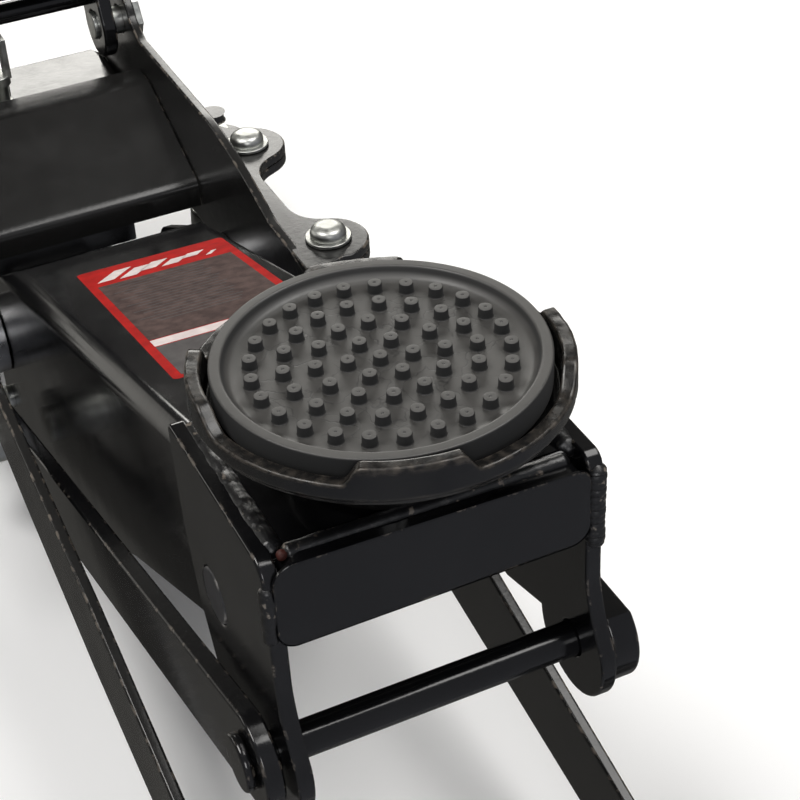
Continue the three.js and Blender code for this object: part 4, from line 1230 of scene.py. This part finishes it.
def make_ram():
    """The ram and its head."""
    low, high = box_mm("ram")
    stand_in("ram", rod(15, low.x, high.x, (0, 0, RAM_HEIGHT), "X", 1.0, 72), "steel")
    low, high = box_mm("ram_head")
    stand_in("ram_head", across(rounded(-26, 26, 30, 60, 6), low.x, high.x, 1.6), "steel")


def make_reservoir():
    stand_in("reservoir_cover", reservoir_cover(), "paint")
    profile = [(0, -9), (6, -9), (6, GAP), (9, GAP), (9, 3), (8, 4), (0, 4)]
    plug = [(radius, TANK["top"] + height) for radius, height in profile]
    stand_in("filler_plug", turned(plug, 0.6, False, 48, (TANK["filler"], 0, 0)), "grip")


def make_pump():
    """The pump's barrel and piston."""
    low, high = box_mm("pump_piston")
    x = (low.x + high.x) / 2
    at = (x, 0, 0)
    piston = merged(rod(7, low.z, high.z - 2, at, "Z", 0.6), rod(8.5, high.z - 5, high.z, at, "Z", 1.2))
    stand_in("pump_piston", piston, "steel")
    barrel = slab(circle(x, 0, 11, 6), 128.3, 141, 0.9, [circle(x, 0, 7.3)])
    stand_in("pump_barrel", barrel, "zinc")


def make_release_valve():
    """A stem with a hexagon and two jaws, which the handle's rod turns."""
    x = YOKE_PIN[0]
    stem = (x, 0, 0)
    jaws = [slab([(x - 5, y), (x + 5, y), (x + 5, y + 3), (x - 5, y + 3)], 150, 174, 0.6) for y in (-8, 5)]
    stand_in("release_valve", merged(
        rod(6, 104, 150, stem, "Z", 0.6),
        hexagon_head(8.5, 128.3, 135, stem, "Z"),
        rod(8, 146, 152, stem, "Z", 0.8),
        *jaws,
    ), "zinc")


def make_power_unit():
    stand_in("pump_block", pump_block(), "casting")
    stand_in("power_unit_cover", power_unit_cover(), "frame_paint")
    for name, place in zip(("lower", "upper"), BLOCK_BOLTS):
        stand_in(f"block_bolt_{name}", through_bolt(place), "zinc")
    make_cylinder()
    make_reservoir()
    make_ram()
    make_pump()
    make_release_valve()


def spring_coil(y):
    """A helical spring between the pump block and the arm's roller pin."""
    low, high = box_mm("return_spring_right")
    height = (low.z + high.z) / 2
    wire, radius, turns = 1.1, 4.3, 24
    x0, x1 = low.x + wire, high.x - wire
    steps, around = turns * 16, 8
    points = []
    for i in range(steps + 1):
        angle = 2 * math.pi * turns * i / steps
        cosine, sine = math.cos(angle), math.sin(angle)
        middle = Vector((x0 + (x1 - x0) * i / steps, y + radius * cosine, height + radius * sine))
        outward = Vector((0, cosine, sine))
        for k in range(around):
            turn = 2 * math.pi * k / around
            points.append(middle + outward * (wire * math.cos(turn)) + Vector((wire * math.sin(turn), 0, 0)))
    faces = [(a, d, c, b) for a, b, c, d in skin(steps + 1, around)]
    faces.append(tuple(range(around)))
    faces.append(tuple(steps * around + k for k in reversed(range(around))))
    return points, faces, [0.0] * len(points)


def make_springs():
    """Both springs, as coils laid between the frame and the arm."""
    for name, y in (("left", -38), ("right", 38)):
        points, faces, _ = moved(spring_coil(y), TO_WORLD)
        data = mesh_data(f"return_spring_{name}", points, faces)
        data.shade_smooth()
        data.materials.append(MATERIALS["zinc"])
        coil = add_object(f"return_spring_{name}_coil", data)
        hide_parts(f"return_spring_{name}")
        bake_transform(coil)


# ------------------------------------------------------------------ yoke and handle
LEAN = math.radians(15)
YOKE_FRAME = Matrix.Translation((YOKE_PIN[0], 0, YOKE_PIN[1])) @ Matrix.Rotation(-LEAN, 4, "Y")
HANDLE = {"radius": 19.0, "wall": 2.5, "start": 36.0, "split": 420.0, "end": 760.0}


def handle_yoke():
    """Two cheeks, a bridge with the handle's socket, and the bar that pushes the piston."""
    half, near = 70, 62
    cheek = arc(0, 0, 19, 165, 375) + [(16, 36), (-16, 36)]
    hole = [circle(0, 0, 8.3)]
    crank_angle = math.radians(150) - LEAN
    crank = (22 * math.cos(crank_angle), 0, 22 * math.sin(crank_angle))
    return merged(
        upright(cheek, -half, -near, 1.4, hole), upright(cheek, near, half, 1.4, hole),
        slab(rounded(-16, 16, -half, half, 3), 27, 36, 1.4, [circle(0, 0, 7.5)]),
        tube(25, HANDLE["radius"] + 0.4, 35.2, 160, (0, 0, 0), "Z", 1.2, 72),
        rod(6, -half + 4, half - 4, crank, "Y", 0.6))


def handle_grip():
    """A foam sleeve with a rounded end, two rolled bands and shallow finger rings."""
    outer, bore, end = HANDLE["radius"] + 1.5, HANDLE["radius"] - HANDLE["wall"], HANDLE["end"]
    low = end - 210
    profile = [(bore, low), (outer - 0.6, low), (outer, low + 2), (outer, low + 12), (outer - 1, low + 13.5)]
    for i in range(14):
        start = low + 17 + i * 12.6
        profile += [(outer - 1, start), (outer - 0.1, start + 1.8)]
        profile += [(outer - 0.1, start + 9.2), (outer - 1, start + 11)]
    profile += [(outer - 1, end - 13.5), (outer, end - 12), (outer, end - 3), (outer - 3, end), (6, end),
                (6, end - 5.5), (bore, end - 5.5)]
    return turned(profile, 0.7, True, 72)


def screw_knob():
    """A hand screw whose round knob is scalloped for the fingers."""
    z = HANDLE["split"] - 30
    outline = []
    for i in range(96):
        angle = 2 * math.pi * i / 96
        radius = 8.4 + 0.6 * math.cos(8 * angle)
        outline.append((radius * math.cos(angle), z + radius * math.sin(angle)))
    at, start = (0, 0, z), HANDLE["radius"] + 0.6
    return merged(
        across(outline, start + 2, HANDLE["radius"] + 9, 0.9),
        rod(4, 12, 24, at, "X", 0.4, 32),
        rod(6.5, start, start + 2.5, at, "X", 0.5, 40))


def make_handle():
    at, outer = (YOKE_PIN[0], 0, YOKE_PIN[1]), FRAME["outer"]
    pin = merged(rod(8, 60, outer + 1, at, "Y", 0.8), hexagon_head(13, outer + GAP, outer + 6, at, "Y"))
    both_sides("yoke_pin", pin, "zinc")
    radius, wall, split, end = HANDLE["radius"], HANDLE["wall"], HANDLE["split"], HANDLE["end"]
    inner = radius - wall - GAP
    middle = (0, 0, 0)
    lower = tube(radius, radius - wall, HANDLE["start"], split, middle, "Z", 0.9, 72)
    upper = tube(inner, inner - wall, split - 110, end - 6, middle, "Z", 0.9, 72)
    turning_rod = merged(rod(6, 14, 90, middle, "Z", 0.8), rod(inner, 84, 90, middle, "Z", 0.6))
    for cad_node, mesh, material in (
        ("handle_yoke", handle_yoke(), "paint"),
        ("handle_lower_tube", lower, "paint"),
        ("handle_upper_tube", upper, "paint"),
        ("handle_grip", handle_grip(), "grip"),
        ("handle_screw", screw_knob(), "grip"),
        ("release_rod", turning_rod, "steel"),
    ):
        stand_in(cad_node, mesh, material, YOKE_FRAME)


# ------------------------------------------------------------------ the scene
make_camera()
make_studio()
make_floor()
make_saddle()
make_head()
make_arm()
make_frame()
make_casters()
make_pivots()
make_power_unit()
make_springs()
make_handle()
